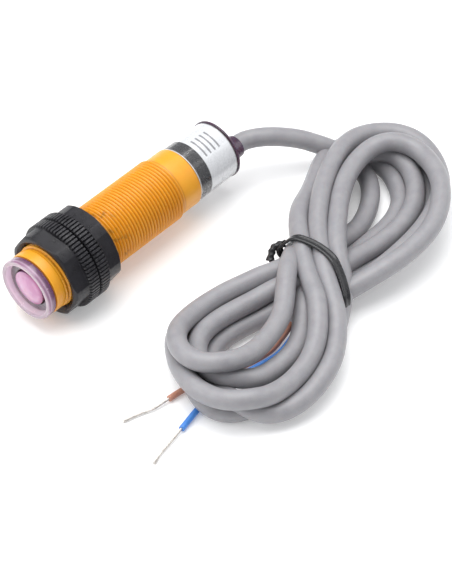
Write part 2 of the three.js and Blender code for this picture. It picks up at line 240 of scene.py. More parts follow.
# A turn of the hank: its left loop, from the waist back to the waist, then its right loop.
TURNS = [
    ([(14.1, -40.1, 8.8), (7.6, -38.1, 8.8), (0.5, -35.2, 8.6), (-7.7, -34.2, 9.0),
      (-15.7, -34.8, 10.0), (-21.2, -36.9, 11.0), (-25.4, -41.3, 12.0), (-27.2, -47.2, 12.8),
      (-24.4, -52.2, 12.8), (-19.6, -55.2, 12.4), (-11.9, -55.8, 12.0), (-5.6, -54.6, 12.0),
      (0.1, -52.9, 12.0), (5.3, -49.4, 12.0), (10.9, -44.8, 12.0), (16.3, -41.3, 11.6)],
     [(21.0, -38.6, 9.8), (26.0, -36.2, 7.2), (33.0, -33.6, 6.4), (39.0, -31.7, 6.1),
      (45.1, -29.6, 6.0), (50.0, -27.0, 6.0), (55.5, -25.4, 6.2), (61.3, -25.4, 6.2),
      (66.0, -27.5, 6.0), (68.2, -31.6, 5.6), (67.9, -36.2, 5.4), (66.0, -41.8, 5.4),
      (62.2, -46.7, 5.4), (55.8, -50.2, 5.4), (48.3, -51.8, 5.4), (41.2, -51.5, 5.5),
      (34.6, -51.0, 5.9), (28.7, -50.5, 7.0), (21.0, -49.4, 8.4)]),
    ([(14.5, -46.0, 8.6), (8.7, -42.6, 7.4), (1.9, -41.0, 7.0), (-4.9, -39.4, 7.0),
      (-11.5, -38.7, 7.2), (-16.5, -39.8, 7.6), (-21.0, -42.9, 8.2), (-23.8, -47.5, 8.6),
      (-24.4, -52.6, 8.4), (-21.0, -56.8, 7.9), (-16.2, -59.9, 7.4), (-10.3, -60.5, 7.2),
      (-4.3, -60.4, 7.2), (1.2, -58.5, 7.2), (5.7, -55.3, 7.2), (12.5, -50.3, 7.6)],
     [(21.0, -44.8, 8.0), (29.0, -38.6, 5.4), (37.0, -32.4, 3.4), (45.0, -27.6, 2.7),
      (53.0, -24.4, 3.0), (60.0, -22.9, 3.2), (65.6, -24.8, 2.9), (67.8, -29.8, 2.6),
      (65.6, -35.4, 2.6), (62.6, -39.8, 2.7), (59.1, -43.5, 2.7), (53.3, -46.2, 2.7),
      (47.0, -46.9, 2.7), (39.9, -46.7, 2.9), (34.1, -46.1, 3.6), (28.0, -45.4, 4.3),
      (21.0, -43.6, 4.3)]),
    ([(14.0, -40.8, 3.6), (7.0, -37.2, 2.8), (0.0, -33.6, 2.6), (-6.0, -31.6, 2.6),
      (-12.0, -31.2, 3.0), (-17.4, -33.7, 4.8), (-22.4, -38.4, 7.2), (-26.6, -43.8, 8.6),
      (-29.2, -49.4, 9.0), (-29.5, -55.4, 9.2), (-27.5, -61.1, 9.3), (-22.6, -65.6, 8.8),
      (-15.5, -67.3, 8.4), (-8.5, -67.1, 8.4), (-1.2, -65.2, 9.0), (4.2, -61.6, 10.0),
      (8.8, -57.1, 11.0), (13.2, -51.6, 11.5), (16.7, -46.4, 12.0)],
     [(22.3, -40.0, 12.2), (27.5, -34.8, 11.2), (34.4, -30.9, 9.9), (41.7, -27.1, 8.4),
      (49.0, -23.2, 7.0), (56.3, -20.0, 5.2), (62.8, -18.0, 3.6), (69.4, -20.2, 2.8),
      (74.0, -25.6, 2.6), (75.0, -32.4, 2.6), (72.6, -39.8, 2.6), (67.6, -46.4, 2.6),
      (60.5, -51.6, 2.6), (52.6, -54.6, 2.6), (44.0, -55.4, 2.7), (36.0, -54.6, 3.2),
      (28.5, -52.2, 4.4), (21.0, -48.8, 6.0)]),
    ([(14.0, -46.0, 6.2), (7.1, -44.6, 4.0), (0.2, -42.9, 2.7), (-7.1, -41.7, 2.7),
      (-13.0, -42.0, 2.8), (-18.5, -44.9, 3.6), (-21.8, -49.6, 4.4), (-24.0, -55.6, 4.5),
      (-25.0, -60.6, 3.6), (-23.3, -64.6, 3.0), (-19.4, -68.6, 4.2), (-13.6, -71.2, 5.8),
      (-6.0, -71.1, 7.0), (2.0, -68.5, 7.8), (8.3, -64.4, 8.4), (13.0, -59.9, 9.8),
      (16.2, -55.0, 11.0)],
     [(20.9, -48.6, 12.0), (25.2, -43.7, 12.0), (29.7, -39.0, 12.0), (34.8, -34.5, 11.8),
      (40.8, -30.4, 11.4), (48.7, -26.7, 10.8), (60.0, -23.3, 9.8), (66.8, -23.2, 9.2),
      (71.6, -25.5, 8.6), (75.0, -29.4, 8.0), (75.8, -35.5, 7.2), (72.9, -42.3, 6.6),
      (67.0, -48.6, 6.6), (59.0, -53.6, 6.8), (51.0, -56.2, 6.8), (43.0, -56.9, 6.6),
      (35.4, -56.4, 6.0), (28.0, -55.0, 5.0), (21.0, -52.6, 4.3)]),
    ([(14.0, -46.6, 3.4), (8.0, -40.8, 2.7), (1.0, -37.6, 2.6), (-7.0, -36.2, 2.6),
      (-13.5, -36.9, 2.7), (-19.0, -39.0, 3.2), (-23.4, -42.6, 4.2), (-26.4, -47.6, 4.4),
      (-28.0, -53.0, 4.4), (-28.4, -57.2, 4.0), (-26.2, -60.6, 3.3), (-22.2, -63.2, 2.8),
      (-16.8, -65.1, 2.6), (-9.8, -65.9, 2.6), (-2.2, -65.5, 2.6), (5.3, -63.8, 2.8),
      (11.6, -61.4, 3.6), (16.4, -58.6, 5.2), (20.4, -56.4, 7.4), (23.4, -53.0, 10.2)],
     [(26.3, -48.7, 12.0), (33.0, -42.5, 12.2), (38.3, -38.5, 12.2), (43.9, -34.7, 12.0),
      (52.3, -30.6, 11.6), (61.7, -28.9, 11.0), (67.0, -30.8, 10.6), (70.6, -34.1, 10.2),
      (71.0, -39.3, 10.0), (68.3, -46.7, 10.0), (63.2, -52.5, 10.2), (56.0, -57.2, 10.6),
      (48.3, -60.0, 10.8), (39.7, -60.5, 10.4), (32.4, -59.3, 9.5), (25.2, -57.6, 8.4)]),
]
LAST_END = [(18.5, -55.2, 6.4), (13.5, -53.0, 4.4), (9.0, -52.1, 3.0), (6.9, -51.9, 2.6)]

wound = [point for left, right in TURNS for point in left + right]
cable_plan = FREE_RUN + INTO_HANK + wound + LAST_END
print("points on the cable's plan:", len(cable_plan))

# %% Relaxation of the cable
CABLE_STEP = 2.2              # between the points that are settled
RING_STEP = 1.3               # between the rings of the finished cable
SETTLE_STEPS = 160
RUN_IN_POINTS = 22            # the part that dives under the turns, where they may overlap
TIGHTEST_BEND = 8.0
ROUNDS = 12


def neighbour_bend(path):
    """At each inner point, the sum of its two neighbours less twice the point itself."""
    return path[:-2] + path[2:] - 2 * path[1:-1]


def settle_cable(plan, held):
    """Drops the turns onto each other and parts those that touch.

    What moves is the shift from the plan. Each step spreads a point's shift to its neighbours,
    which is the cable's stiffness, shrinks it a little, as the tie and the winding hold the
    cable, and adds some weight. Then every pair closer than one diameter is pushed apart along
    the line between them, and the table stops what would sink into it. Neighbours along the
    cable are left out of the pairs. Inside the tie the turns may overlap by most of their
    thickness, and where the run-in dives under them by even more.
    """
    path = plan.copy()
    order = np.arange(len(path))
    apart = np.abs(order[:, None] - order[None, :]) > 3 * CABLE_R / CABLE_STEP
    squeezed = np.clip((np.abs(plan[:, 0] - TIE_X) - 3.0) / 7.0, 0.25, 1.0)
    squeezed[:RUN_IN_POINTS] *= 0.1
    reach = 2 * CABLE_R * np.sqrt(squeezed[:, None] * squeezed[None, :])
    for _ in range(SETTLE_STEPS):
        shift = path - plan
        shift[1:-1] += 0.3 * neighbour_bend(shift)
        path = plan + 0.95 * shift
        path[:, 2] -= 0.03
        offset = path[:, None] - path[None, :]
        distance = np.linalg.norm(offset, axis=2) + 1e-9
        overlap = np.where(apart, np.clip(reach - distance, 0, None), 0)
        push = (offset / distance[..., None] * overlap[..., None]).sum(axis=1)
        touching = np.maximum((overlap > 0).sum(axis=1), 1)
        path += 0.9 * push / touching[:, None]
        path[:, 2] = np.maximum(path[:, 2], CABLE_R)
        path[held] = plan[held]
    return path


def round_bends(path, held):
    """Moves a point towards its neighbours' middle wherever the cable bends too tightly there.

    The bend radius at a point is the step squared over the length of the bend vector.
    """
    for _ in range(ROUNDS):
        bend = neighbour_bend(path)
        step = np.linalg.norm(path[2:] - path[:-2], axis=1) / 2
        tight = np.linalg.norm(bend, axis=1) * TIGHTEST_BEND / step**2
        share = np.where(held[1:-1], 0, 0.03 + 0.27 * np.clip(tight - 0.8, 0, 1))
        path[1:-1] += share[:, None] * bend
    return path


cable_plan = smooth_curve(cable_plan, CABLE_STEP)
run_points = round(path_length(smooth_curve(FREE_RUN, CABLE_STEP)) / CABLE_STEP) + 1
held = np.zeros(len(cable_plan), bool)
held[:run_points] = True
held[-2:] = True

cable_plan = round_bends(cable_plan, held)
settled = round_bends(settle_cable(cable_plan, held), held)
cable_path = even_steps(smooth_curve(settled, RING_STEP), RING_STEP)

# %% The cable's piece
JACKET_END = 1.0                       # length of the separate cut end
into_boss = np.array([[36.4, CABLE_Y, AXIS_Z]])
cable_axis = np.vstack([into_boss, cable_path])
end_direction = cable_axis[-1] - cable_axis[-3]
end_direction /= np.linalg.norm(end_direction)
cable = sweep("connection_cable", cable_axis, circle(CABLE_R, 28))
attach(cable, "sensor")
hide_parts("cable_run", "cable_hank")

# %% [markdown]
# ## Turned pieces
#
# The barrel, the cap, the lens, the label and the rear cap are turned: a profile of stations and
# radii is spun about a line along X. A turned piece is the simplest surface of two parameters, one
# along the profile and one round the axis. Corners that catch the light get a small round of
# their own in the profile, because a perfectly sharp edge never shows a highlight.

# %% Turning
OVERALL = 75.2
FRONT = -OVERALL / 2


def turned(name, profile, sides, y=0.0, sharp=30.0):
    """A closed profile of (station, radius) spun about a line along X.

    A vertex at angle a is (station, radius * sin a, radius * cos a). Neighbouring faces that meet
    at more than the sharp angle, in degrees, are shaded as an edge.
    """
    profile = np.asarray(profile, float)
    angle = np.linspace(0, 2 * np.pi, sides, endpoint=False)
    station, radius = profile[:, :1], profile[:, 1:]
    grid = np.stack(np.broadcast_arrays(FRONT + station, y + radius * np.sin(angle),
                                        AXIS_Z + radius * np.cos(angle)), axis=-1)
    return closed_grid(name, grid, sharp)


def clean(obj, sharp=30.0):
    """Merges points that coincide, as at a pole, drops empty faces and marks the sharp edges."""
    mesh = bmesh.new()
    mesh.from_mesh(obj.data)
    bmesh.ops.remove_doubles(mesh, verts=mesh.verts, dist=1e-6)
    bmesh.ops.dissolve_degenerate(mesh, edges=mesh.edges, dist=1e-7)
    bmesh.ops.recalc_face_normals(mesh, faces=mesh.faces)
    mesh.to_mesh(obj.data)
    mesh.free()
    obj.data.polygons.foreach_set("use_smooth", [True] * len(obj.data.polygons))
    obj.data.set_sharp_from_angle(angle=math.radians(sharp))
    return obj


def rounded(profile, radius, steps=4, corners=None):
    """Cuts chosen corners of a closed profile into short arcs.

    A corner is replaced by a curve from a point just before it to a point just after it, which
    bends towards the corner: (1-t)^2 before + 2t(1-t) corner + t^2 after.
    """
    profile = np.asarray(profile, float)
    result = []
    for i, corner in enumerate(profile):
        if corners is not None and i not in corners:
            result.append(corner[None])
            continue
        before, after = profile[i - 1] - corner, profile[(i + 1) % len(profile)] - corner
        size = min(radius, 0.45 * np.linalg.norm(before), 0.45 * np.linalg.norm(after))
        start = corner + size * before / np.linalg.norm(before)
        stop = corner + size * after / np.linalg.norm(after)
        t = np.linspace(0, 1, steps + 1)[:, None]
        result.append((1 - t)**2 * start + 2 * t * (1 - t) * corner + t**2 * stop)
    return np.vstack(result)


# %% [markdown]
# ## Barrel and thread
#
# The barrel is moulded in orange plastic: a smooth collar in front, a standard thread with one
# ridge per millimetre, a smooth part behind it, and a seat for the label. Its thread could be
# faked with bump, but the ridges show on the outline, so they are real. One ridge is a small
# closed section carried along a helix. It starts and ends by growing out of the barrel.

# %% Barrel
THREAD_R, ROOT_R, BODY_R, COLLAR_R, BORE_R = 9.0, 8.42, 8.5, 8.65, 7.0
COLLAR_START, THREAD_START, THREAD_END = 3.0, 6.5, 50.2
SEAT_START, SEAT_R, BARREL_END = 56.0, 7.7, 70.1

barrel = turned("barrel_body", rounded([
    (COLLAR_START, BORE_R), (COLLAR_START, COLLAR_R), (THREAD_START - 0.7, COLLAR_R),
    (THREAD_START - 0.4, ROOT_R), (THREAD_END - 0.5, ROOT_R), (THREAD_END - 0.1, BODY_R),
    (SEAT_START, BODY_R), (SEAT_START, SEAT_R), (BARREL_END, SEAT_R), (BARREL_END, BORE_R),
], 0.2), sides=160)


def helical_ridge(name, start, end, root, crest, pitch=1.0, steps=64):
    """One ridge of a right-handed thread, its section carried along a helix.

    At turn t the section sits at station start + pitch * t and angle 2 pi t. Its height over the
    root grows from nothing over the first half turn, and shrinks again over the last.
    """
    turn = np.linspace(0, (end - start) / pitch, round((end - start) / pitch * steps) + 1)[:, None]
    half_width = pitch * np.array([-0.43, -0.22, -0.09, 0.0, 0.09, 0.22, 0.43, 0.0])
    height = np.array([0.0, 0.60, 0.94, 1.0, 0.94, 0.60, 0.0, -0.5])
    grown = np.clip(np.minimum(turn, turn[-1] - turn) / 0.5, 0.02, 1)
    radius = root - 0.04 + (crest - root + 0.04) * height * grown
    station = start + pitch * turn + half_width
    angle = 2 * np.pi * turn
    grid = np.stack([FRONT + station, -radius * np.sin(angle), AXIS_Z + radius * np.cos(angle)],
                    axis=-1)
    return capped_grid(name, grid, sharp=60)


thread = helical_ridge("barrel_thread", THREAD_START - 0.2, THREAD_END - 0.5, ROOT_R, THREAD_R)
for piece in (barrel, thread):
    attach(piece, "sensor")
    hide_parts("barrel")
print("thread:", len(thread.data.polygons), "faces")

# %% [markdown]
# ## Lens cap and lens
#
# A tinted cap closes the front. Its rim is a rounded ring; inside it a recess goes down to a
# ledge, and the lens bulges from a hole in its floor. The wall is thin and lets light through, so
# the cap is one turned shell with a real thickness.

# %% Lens cap and lens
CAP_R, CAP_LENGTH, CAP_RIM_R, CAP_RECESS = 8.6, 2.7, 7.35, 1.9
SPIGOT_R, SPIGOT_END, LENS_R = 6.7, 5.4, 5.0
lens_cap = turned("lens_cap_shell", rounded([
    (0.0, CAP_RIM_R), (0.0, CAP_R), (CAP_LENGTH, CAP_R), (CAP_LENGTH, SPIGOT_R),
    (SPIGOT_END, SPIGOT_R), (SPIGOT_END, LENS_R + 0.08), (CAP_RECESS, LENS_R + 0.08),
    (CAP_RECESS, CAP_RIM_R - 0.25),
], 0.5, steps=6, corners=(0, 1, 2, 6)), sides=160, sharp=40)

LENS_START, LENS_END, LENS_CROWN = 0.5, 5.0, 0.9
bulge = np.linspace(0.001, 1, 20)
lens_profile = np.stack([LENS_START + LENS_CROWN * bulge**2, (LENS_R - 0.1) * bulge], axis=1)
lens = turned("front_lens", np.vstack([lens_profile, [(LENS_END, LENS_R - 0.1), (LENS_END, 0.001)]]),
              sides=96, sharp=40)
for piece, node, slot in ((lens_cap, "lens_cap", "mauve_lens_cap"), (lens, "lens", "pink_lens")):
    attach(piece, "sensor")
    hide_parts(node)

# %% [markdown]
# ## Nuts
#
# Both nuts are the same moulding: a chamfered hexagon, and a round flange with straight knurling
# for the fingers. The outer radius is worked out for every depth and angle. On the hexagon it is
# the smaller of the flat's distance and the chamfer cone, as when a hexagon bar is turned in a
# lathe. On the flange it is a circle with a narrow groove between each two teeth.

# %% Nuts
HEX_LENGTH, FLANGE_LENGTH, FLANGE_R = 4.6, 3.45, 12.2
ACROSS_FLATS, CHAMFER_R, CORNER_R = 21.5, 10.9, 11.6
NUT_LENGTH = HEX_LENGTH + FLANGE_LENGTH
NUT_LIP_R, NUT_RING_R = 9.3, 9.9
TEETH, SAMPLES_PER_TOOTH = 72, 8
GROOVE_DEPTH = 0.5
FRONT_NUT_START = 6.8
REAR_NUT_START = FRONT_NUT_START + NUT_LENGTH + 0.3


def hexagon_radius(angle):
    """Distance from the middle to the flats at the top, the bottom and between.

    It is half the width over the cosine of the angle from the nearest flat's middle. The corners
    are turned down to a round.
    """
    flats = ACROSS_FLATS / 2 / np.cos((angle + np.pi / 6) % (np.pi / 3) - np.pi / 6)
    return np.minimum(flats, CORNER_R)


def knurl_radius(angle, outer):
    """A circle with a flat-bottomed groove centred between each two teeth."""
    phase = (angle * TEETH / (2 * np.pi) + 0.5) % 1 - 0.5
    return outer - GROOVE_DEPTH * np.clip((0.24 - np.abs(phase)) / 0.14, 0, 1)


def nut(name, start, flange_in_front):
    """The grid of a nut: rows follow its section, columns go round it."""
    angle = np.linspace(0, 2 * np.pi, TEETH * SAMPLES_PER_TOOTH, endpoint=False)
    hexagon = hexagon_radius(angle)

    def flat(radius):
        """A circle of one radius at every angle."""
        return np.full_like(angle, radius)

    rows = [(0.0, flat(NUT_LIP_R + 0.9)),
            (0.0, np.minimum(hexagon, CHAMFER_R - 0.12))]
    rows += [(depth, np.minimum(hexagon, CHAMFER_R + 1.3 * depth)) for depth in (0.05, 0.2, 0.4, 0.6)]
    rows += [(HEX_LENGTH - 0.35, hexagon), (HEX_LENGTH - 0.1, hexagon + 0.05),
             (HEX_LENGTH, hexagon + 0.12),
             (HEX_LENGTH, flat(FLANGE_R - 0.45)),
             (HEX_LENGTH + 0.1, knurl_radius(angle, FLANGE_R - 0.3)),
             (HEX_LENGTH + 0.42, knurl_radius(angle, FLANGE_R)),
             (NUT_LENGTH - 0.36, knurl_radius(angle, FLANGE_R)),
             (NUT_LENGTH - 0.08, knurl_radius(angle, FLANGE_R - 0.26)),
             (NUT_LENGTH, flat(FLANGE_R - 0.8)),
             (NUT_LENGTH, flat(NUT_LIP_R)),
             (NUT_LENGTH - 1.2, flat(NUT_LIP_R)),
             (NUT_LENGTH - 1.2, flat(NUT_RING_R + 0.3)),
             (1.2, flat(NUT_RING_R + 0.3)),
             (1.2, flat(NUT_LIP_R)), (0.8, flat(NUT_LIP_R))]
    depth = np.array([row[0] for row in rows])[:, None]
    radius = np.array([row[1] for row in rows])
    station = start + (NUT_LENGTH - depth if flange_in_front else depth)
    grid = np.stack(np.broadcast_arrays(FRONT + station, radius * np.sin(angle),
                                        AXIS_Z + radius * np.cos(angle)), axis=-1)
    return closed_grid(name, grid, sharp=24)


front_nut = nut("front_nut_moulding", FRONT_NUT_START, flange_in_front=False)
rear_nut = nut("rear_nut_moulding", REAR_NUT_START, flange_in_front=True)
for piece, body in ((front_nut, "front_nut"), (rear_nut, "rear_nut")):
    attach(piece, body)
    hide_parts(body)
print("a nut:", len(front_nut.data.polygons), "faces")

# %% [markdown]
# ## Label, film and rear cap
#
# A printed foil is wrapped round the rear of the barrel and covered with a clear film whose ends
# overlap. Behind it a dark purple cap closes the barrel, with a boss that grips the cable.

# %% Label, film and rear cap
LABEL_START, LABEL_R, FILM_R = 56.3, 8.2, 8.6
label = turned("printed_label", [(LABEL_START, 8.0), (LABEL_START, LABEL_R), (BARREL_END, LABEL_R),
                                 (BARREL_END, 8.0)], sides=160)
film = turned("label_cover_film", rounded([
    (LABEL_START, FILM_R - 0.1), (LABEL_START, FILM_R), (BARREL_END, FILM_R),
    (BARREL_END, FILM_R - 0.1)], 0.03), sides=160)

BOSS_R, BOSS_START = 3.25, 71.0
cap_flange = turned("rear_cap_flange", rounded([
    (64.8, 0.01), (64.8, SPIGOT_R), (BARREL_END + 0.3, SPIGOT_R), (BARREL_END + 0.3, BODY_R),
    (BOSS_START, BODY_R), (BOSS_START, 0.01)], 0.22, corners=(3, 4)), sides=160)
cap_boss = turned("rear_cap_boss", rounded([
    (BOSS_START - 0.5, CABLE_R + 0.05), (BOSS_START - 0.5, BOSS_R + 0.15),
    (OVERALL, BOSS_R - 0.12), (OVERALL, CABLE_R + 0.05)], 0.4, corners=(2,)), sides=64, y=CABLE_Y)
for piece, node, slot in ((label, "type_label", "silver_label"), (film, "label_film", "clear_film"),
                          (cap_flange, "rear_cap", "dark_purple_cap"),
                          (cap_boss, "rear_cap", "dark_purple_cap")):
    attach(piece, "sensor")
    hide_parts(node)

# %% [markdown]
# ## Wires and strands
#
# Past the cut jacket run the two insulated wires, brown and blue, on under the left loops. Their
# last millimetres are stripped. A stripped end is a bunch of fine tinned wires, each on a helix
# round the bunch: its offset from the middle turns once every few millimetres.

# %% Wires and strands
WIRE_R = 0.8
BROWN_ROUTE = [(6.6, -51.0, 2.6), (2.0, -51.9, 1.8), (-3.0, -52.3, 1.0), (-9.0, -51.4, 1.0),
               (-15.0, -49.4, 1.0), (-21.0, -47.0, 1.0), (-26.9, -45.2, 1.0), (-32.0, -44.5, 1.0)]
BLUE_ROUTE = [(6.6, -52.9, 2.6), (2.0, -54.1, 1.7), (-3.0, -54.5, 1.0), (-9.0, -53.5, 1.0),
              (-15.0, -52.2, 1.0), (-21.0, -51.5, 1.0), (-27.2, -51.7, 1.0), (-36.9, -53.5, 1.0)]
BROWN_STRANDS = [(-32.3, -44.5, 1.0), (-36.5, -43.9, 0.8), (-40.0, -42.5, 0.6), (-44.6, -41.0, 0.5)]
BLUE_STRANDS = [(-37.2, -53.55, 1.0), (-41.4, -54.3, 0.8), (-45.2, -54.8, 0.6), (-49.0, -55.8, 0.5)]


def twisted_strands(name, route, bunch=0.22, strand=0.125, count=7, lay=3.2):
    """A bunch of fine wires: the first runs down the middle and the others wind round it.

    A wire's offset is bunch * (cos p, sin p) in the plane across the route, where p grows by one
    turn every lay millimetres. Towards the free end the bunch opens a little.
    """
    middle = smooth_curve(route, 0.25)
    _, side, up = path_frames(middle)
    along = np.linspace(0, path_length(middle), len(middle))
    opening = bunch * (1 + 0.5 * np.clip(along / along[-1] - 0.8, 0, 1) / 0.2)
    wires = [sweep(f"{name}_0", middle, circle(strand, 6))]
    for number in range(1, count):
        phase = 2 * np.pi * (along / lay + number / (count - 1))
        offset = opening * (np.cos(phase) * side.T + np.sin(phase) * up.T)
        wires.append(sweep(f"{name}_{number}", middle + offset.T, circle(strand, 6)))
    return joined(name, wires)


wires = {}
for colour, route in (("brown", BROWN_ROUTE), ("blue", BLUE_ROUTE)):
    path = smooth_curve([np.add(route[0], (1.6, 0.1, 0.2))] + route, 0.8)
    wire = sweep(f"{colour}_wire", path, circle(WIRE_R, 18))
    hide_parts(f"{colour}_core")
    wires[colour] = (wire, path)
bare = {"brown": twisted_strands("brown_wire_strands", [(-31.2, -44.55, 1.0)] + BROWN_STRANDS),
        "blue": twisted_strands("blue_wire_strands", [(-36.2, -53.4, 1.0)] + BLUE_STRANDS)}
for colour, strands in bare.items():
    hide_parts(f"{colour}_strands")
    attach(wires[colour][0], "sensor")
    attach(strands, "sensor")


# %% Cut end of the jacket
def collar_ring(name, centre, direction, profile, sides=40):
    """A closed profile of (distance along direction, radius) spun about the direction."""
    direction = np.asarray(direction, float)
    side = np.cross(direction, (0.0, 0.0, 1.0))
    side /= np.linalg.norm(side)
    up = np.cross(side, direction)
    angle = np.linspace(0, 2 * np.pi, sides, endpoint=False)[None, :, None]
    profile = np.asarray(profile, float)[:, :, None, None]
    grid = centre + profile[:, 0] * direction + profile[:, 1] * (np.cos(angle) * side
                                                                   + np.sin(angle) * up)
    return closed_grid(name, grid, sharp=50)


jacket_end = collar_ring("cable_jacket_end", cable_axis[-1], end_direction, rounded([
    (-0.2, 0.01), (-0.2, CABLE_R), (JACKET_END, CABLE_R), (JACKET_END, 1.9), (0.1, 1.9), (0.1, 0.01),
], 0.15, corners=(2, 3)))
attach(jacket_end, "sensor")

# %% [markdown]
# ## Twist tie
#
# The tie is a flat black ribbon with a wire along each edge, so its section has two ridges with a
# web between them. It goes once round the waist of the hank; beside the hank its two ends are
# twisted round each other, and their tips stick out.

# %% Twist tie
TIE_WIDTH, TIE_THICK = 2.3, 0.95


def ribbon_outline(width, thick, points=28):
    """A flat section with two round ridges: the half height is thick/2 at the ridges, less between.

    Going round at angle a, the width coordinate is width/2 * cos a, and the height is the sine of
    a times a thickness that dips in the middle.
    """
    a = np.linspace(0, 2 * np.pi, points, endpoint=False)
    across = width / 2 * np.sign(np.cos(a)) * np.abs(np.cos(a))**0.8
    ridge = 0.62 + 0.38 * np.clip(np.abs(across) / (0.30 * width), 0, 1)**2
    return np.stack([across, thick / 2 * np.sign(np.sin(a)) * np.abs(np.sin(a))**0.7 * ridge], axis=1)


def waist_loop(cable, margin):
    """The convex outline, in the plane of the tie, of the turns that it holds, grown by a margin.

    For each direction round the waist the farthest turn gives a support distance. The loop's
    point is where that direction's tangent meets its neighbours': support times the normal plus
    its slope times the tangent.
    """
    near = cable[np.abs(cable[:, 0] - TIE_X) < 1.6][:, 1:]
    angle = np.linspace(0, 2 * np.pi, 120, endpoint=False)
    normal = np.stack([np.cos(angle), np.sin(angle)], axis=1)
    support = (near @ normal.T).max(axis=0) + CABLE_R + margin
    slope = np.gradient(np.concatenate([support[-4:], support, support[:4]]))[4:-4] / (angle[1])
    tangent = np.stack([-np.sin(angle), np.cos(angle)], axis=1)
    loop = support[:, None] * normal + slope[:, None] * tangent
    for _ in range(6):
        loop = 0.25 * np.roll(loop, 1, axis=0) + 0.5 * loop + 0.25 * np.roll(loop, -1, axis=0)
    return np.hstack([np.zeros((len(loop), 1)), loop])


loop = waist_loop(cable_axis, TIE_THICK / 2)
loop[:, 2] = np.maximum(loop[:, 2], TIE_THICK / 2 + 0.02)
# The loop bows along the hank: its sides sit nearer to the left loops than its top does.
loop[:, 0] = TIE_X + 1.8 - 4.2 * ((loop[:, 1] + 46.5) / 12.0)**2
start = np.argmin(np.abs(loop[:, 2] - 10.2) + 100 * (loop[:, 1] < -48))
loop = np.roll(loop, -start, axis=0)
ribbon = ribbon_outline(TIE_WIDTH, TIE_THICK)


def closed_band(name, loop, outline):
    """An outline in the width and outward directions carried round a closed loop in one plane."""
    forward = np.roll(loop, -1, axis=0) - np.roll(loop, 1, axis=0)
    forward /= np.linalg.norm(forward, axis=1, keepdims=True)
    width = np.cross(forward, np.cross(np.array([1.0, 0.0, 0.0]), forward))
    width /= np.linalg.norm(width, axis=1, keepdims=True)
    out = np.cross(forward, width)
    grid = loop[:, None] + outline[:, :1] * width[:, None] + outline[:, 1:] * out[:, None]
    return closed_grid(name, grid, sharp=60)


tie_band = closed_band("twist_tie_band", loop, ribbon)
knot_at = loop[0] + np.array([0.0, 0.8, 0.0])
print("the tie's knot is at", knot_at.round(1))
knot_middle = smooth_curve([knot_at + (0.9, -1.0, 0.5), knot_at, knot_at + (-1.2, 0.7, -0.9),
                            knot_at + (-2.3, 0.4, -2.1), knot_at + (-3.4, -0.2, -3.2),
                            knot_at + (-4.4, -0.9, -4.4)], 0.12)


def twisted_tails(name, middle, half_turns=4.0, spread=0.55):
    """Two flat ribbons wound round each other along the middle line, then parting at the end."""
    _, side, up = path_frames(middle)
    t = np.linspace(0, 1, len(middle))[:, None]
    angle = np.pi * half_turns * np.clip(t / 0.75, 0, 1)
    across = np.cos(angle) * side + np.sin(angle) * up
    gap = spread * (1 + 1.3 * np.clip((t - 0.72) / 0.28, 0, 1)**2)
    outline = ribbon_outline(TIE_WIDTH * 0.8, TIE_THICK * 0.9, 20)
    tails = []
    for sign in (-1, 1):
        length = len(middle) - (14 if sign > 0 else 0)
        centre = (middle + sign * gap * across)[:length]
        forward = np.gradient(centre, axis=0)
        forward /= np.linalg.norm(forward, axis=1, keepdims=True)
        out = across[:length] - forward * (across[:length] * forward).sum(1, keepdims=True)
        out /= np.linalg.norm(out, axis=1, keepdims=True)
        width = np.cross(out, forward)
        grid = centre[:, None] + outline[:, :1] * width[:, None] + outline[:, 1:] * out[:, None]
        tails.append(capped_grid(f"{name}_{sign}", grid, sharp=60))
    return joined(name, tails)


tie_tails = twisted_tails("twist_tie_tails", knot_middle)
for piece, node in ((tie_band, "tie_band"), (tie_tails, "tie_twist")):
    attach(piece, "sensor")
    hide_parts(node)

print(f"wires: {path_length(wires['brown'][1]):.0f} and {path_length(wires['blue'][1]):.0f} mm")

# %% [markdown]
# ## Finishes: what they share
#
# Nearly every finish here is moulded plastic, and moulded plastic has the same few traits: a fine
# grain that breaks up the gloss, a slow unevenness, a little dust, and lighter edges, polished or
# scuffed by handling and with painted highlights along them. Each trait is one node group, built
# once.
# A group puts out only masks, colours or a normal; the shader itself stays in each material. All of
# them read Object coordinates scaled to millimetres, so a grain of 0.1 is a tenth of a millimetre
# everywhere.

# %% A small node writer
def link(tree, source, target):
    """Joins an output socket to an input socket."""
    tree.links.new(source, target)


def math_node(tree, operation, a, b=None, clamp=False):
    """One arithmetic node; a and b are numbers or output sockets."""
    node = tree.nodes.new("ShaderNodeMath")
    node.operation = operation
    node.use_clamp = clamp
    for index, value in enumerate((a, b)):
        if value is None:
            continue
        if isinstance(value, (int, float)):
            node.inputs[index].default_value = value
        else:
            link(tree, value, node.inputs[index])
    return node.outputs[0]


def times(tree, a, b):
    """The product of two values, which for masks is where both hold."""
    return math_node(tree, "MULTIPLY", a, b)


def invert(tree, mask):
    """One less the mask."""
    return math_node(tree, "SUBTRACT", 1.0, mask)


def ramp(tree, value, low, high):
    """A mask that rises from 0 to 1 as the value goes from low to high."""
    node = tree.nodes.new("ShaderNodeMapRange")
    node.interpolation_type = "SMOOTHSTEP"
    node.inputs["From Min"].default_value = low
    node.inputs["From Max"].default_value = high
    link(tree, value, node.inputs["Value"])
    return node.outputs["Result"]


def mix(tree, mask, first, second):
    """A colour between two: each is an output socket or a tuple of red, green and blue."""
    node = tree.nodes.new("ShaderNodeMix")
    node.data_type = "RGBA"
    factor, one, two = node.inputs[0], node.inputs[6], node.inputs[7]
    for target, value in ((factor, mask), (one, first), (two, second)):
        if isinstance(value, (int, float)):
            target.default_value = value
        elif isinstance(value, tuple):
            target.default_value = (*value, 1.0)
        else:
            link(tree, value, target)
    return node.outputs[2]


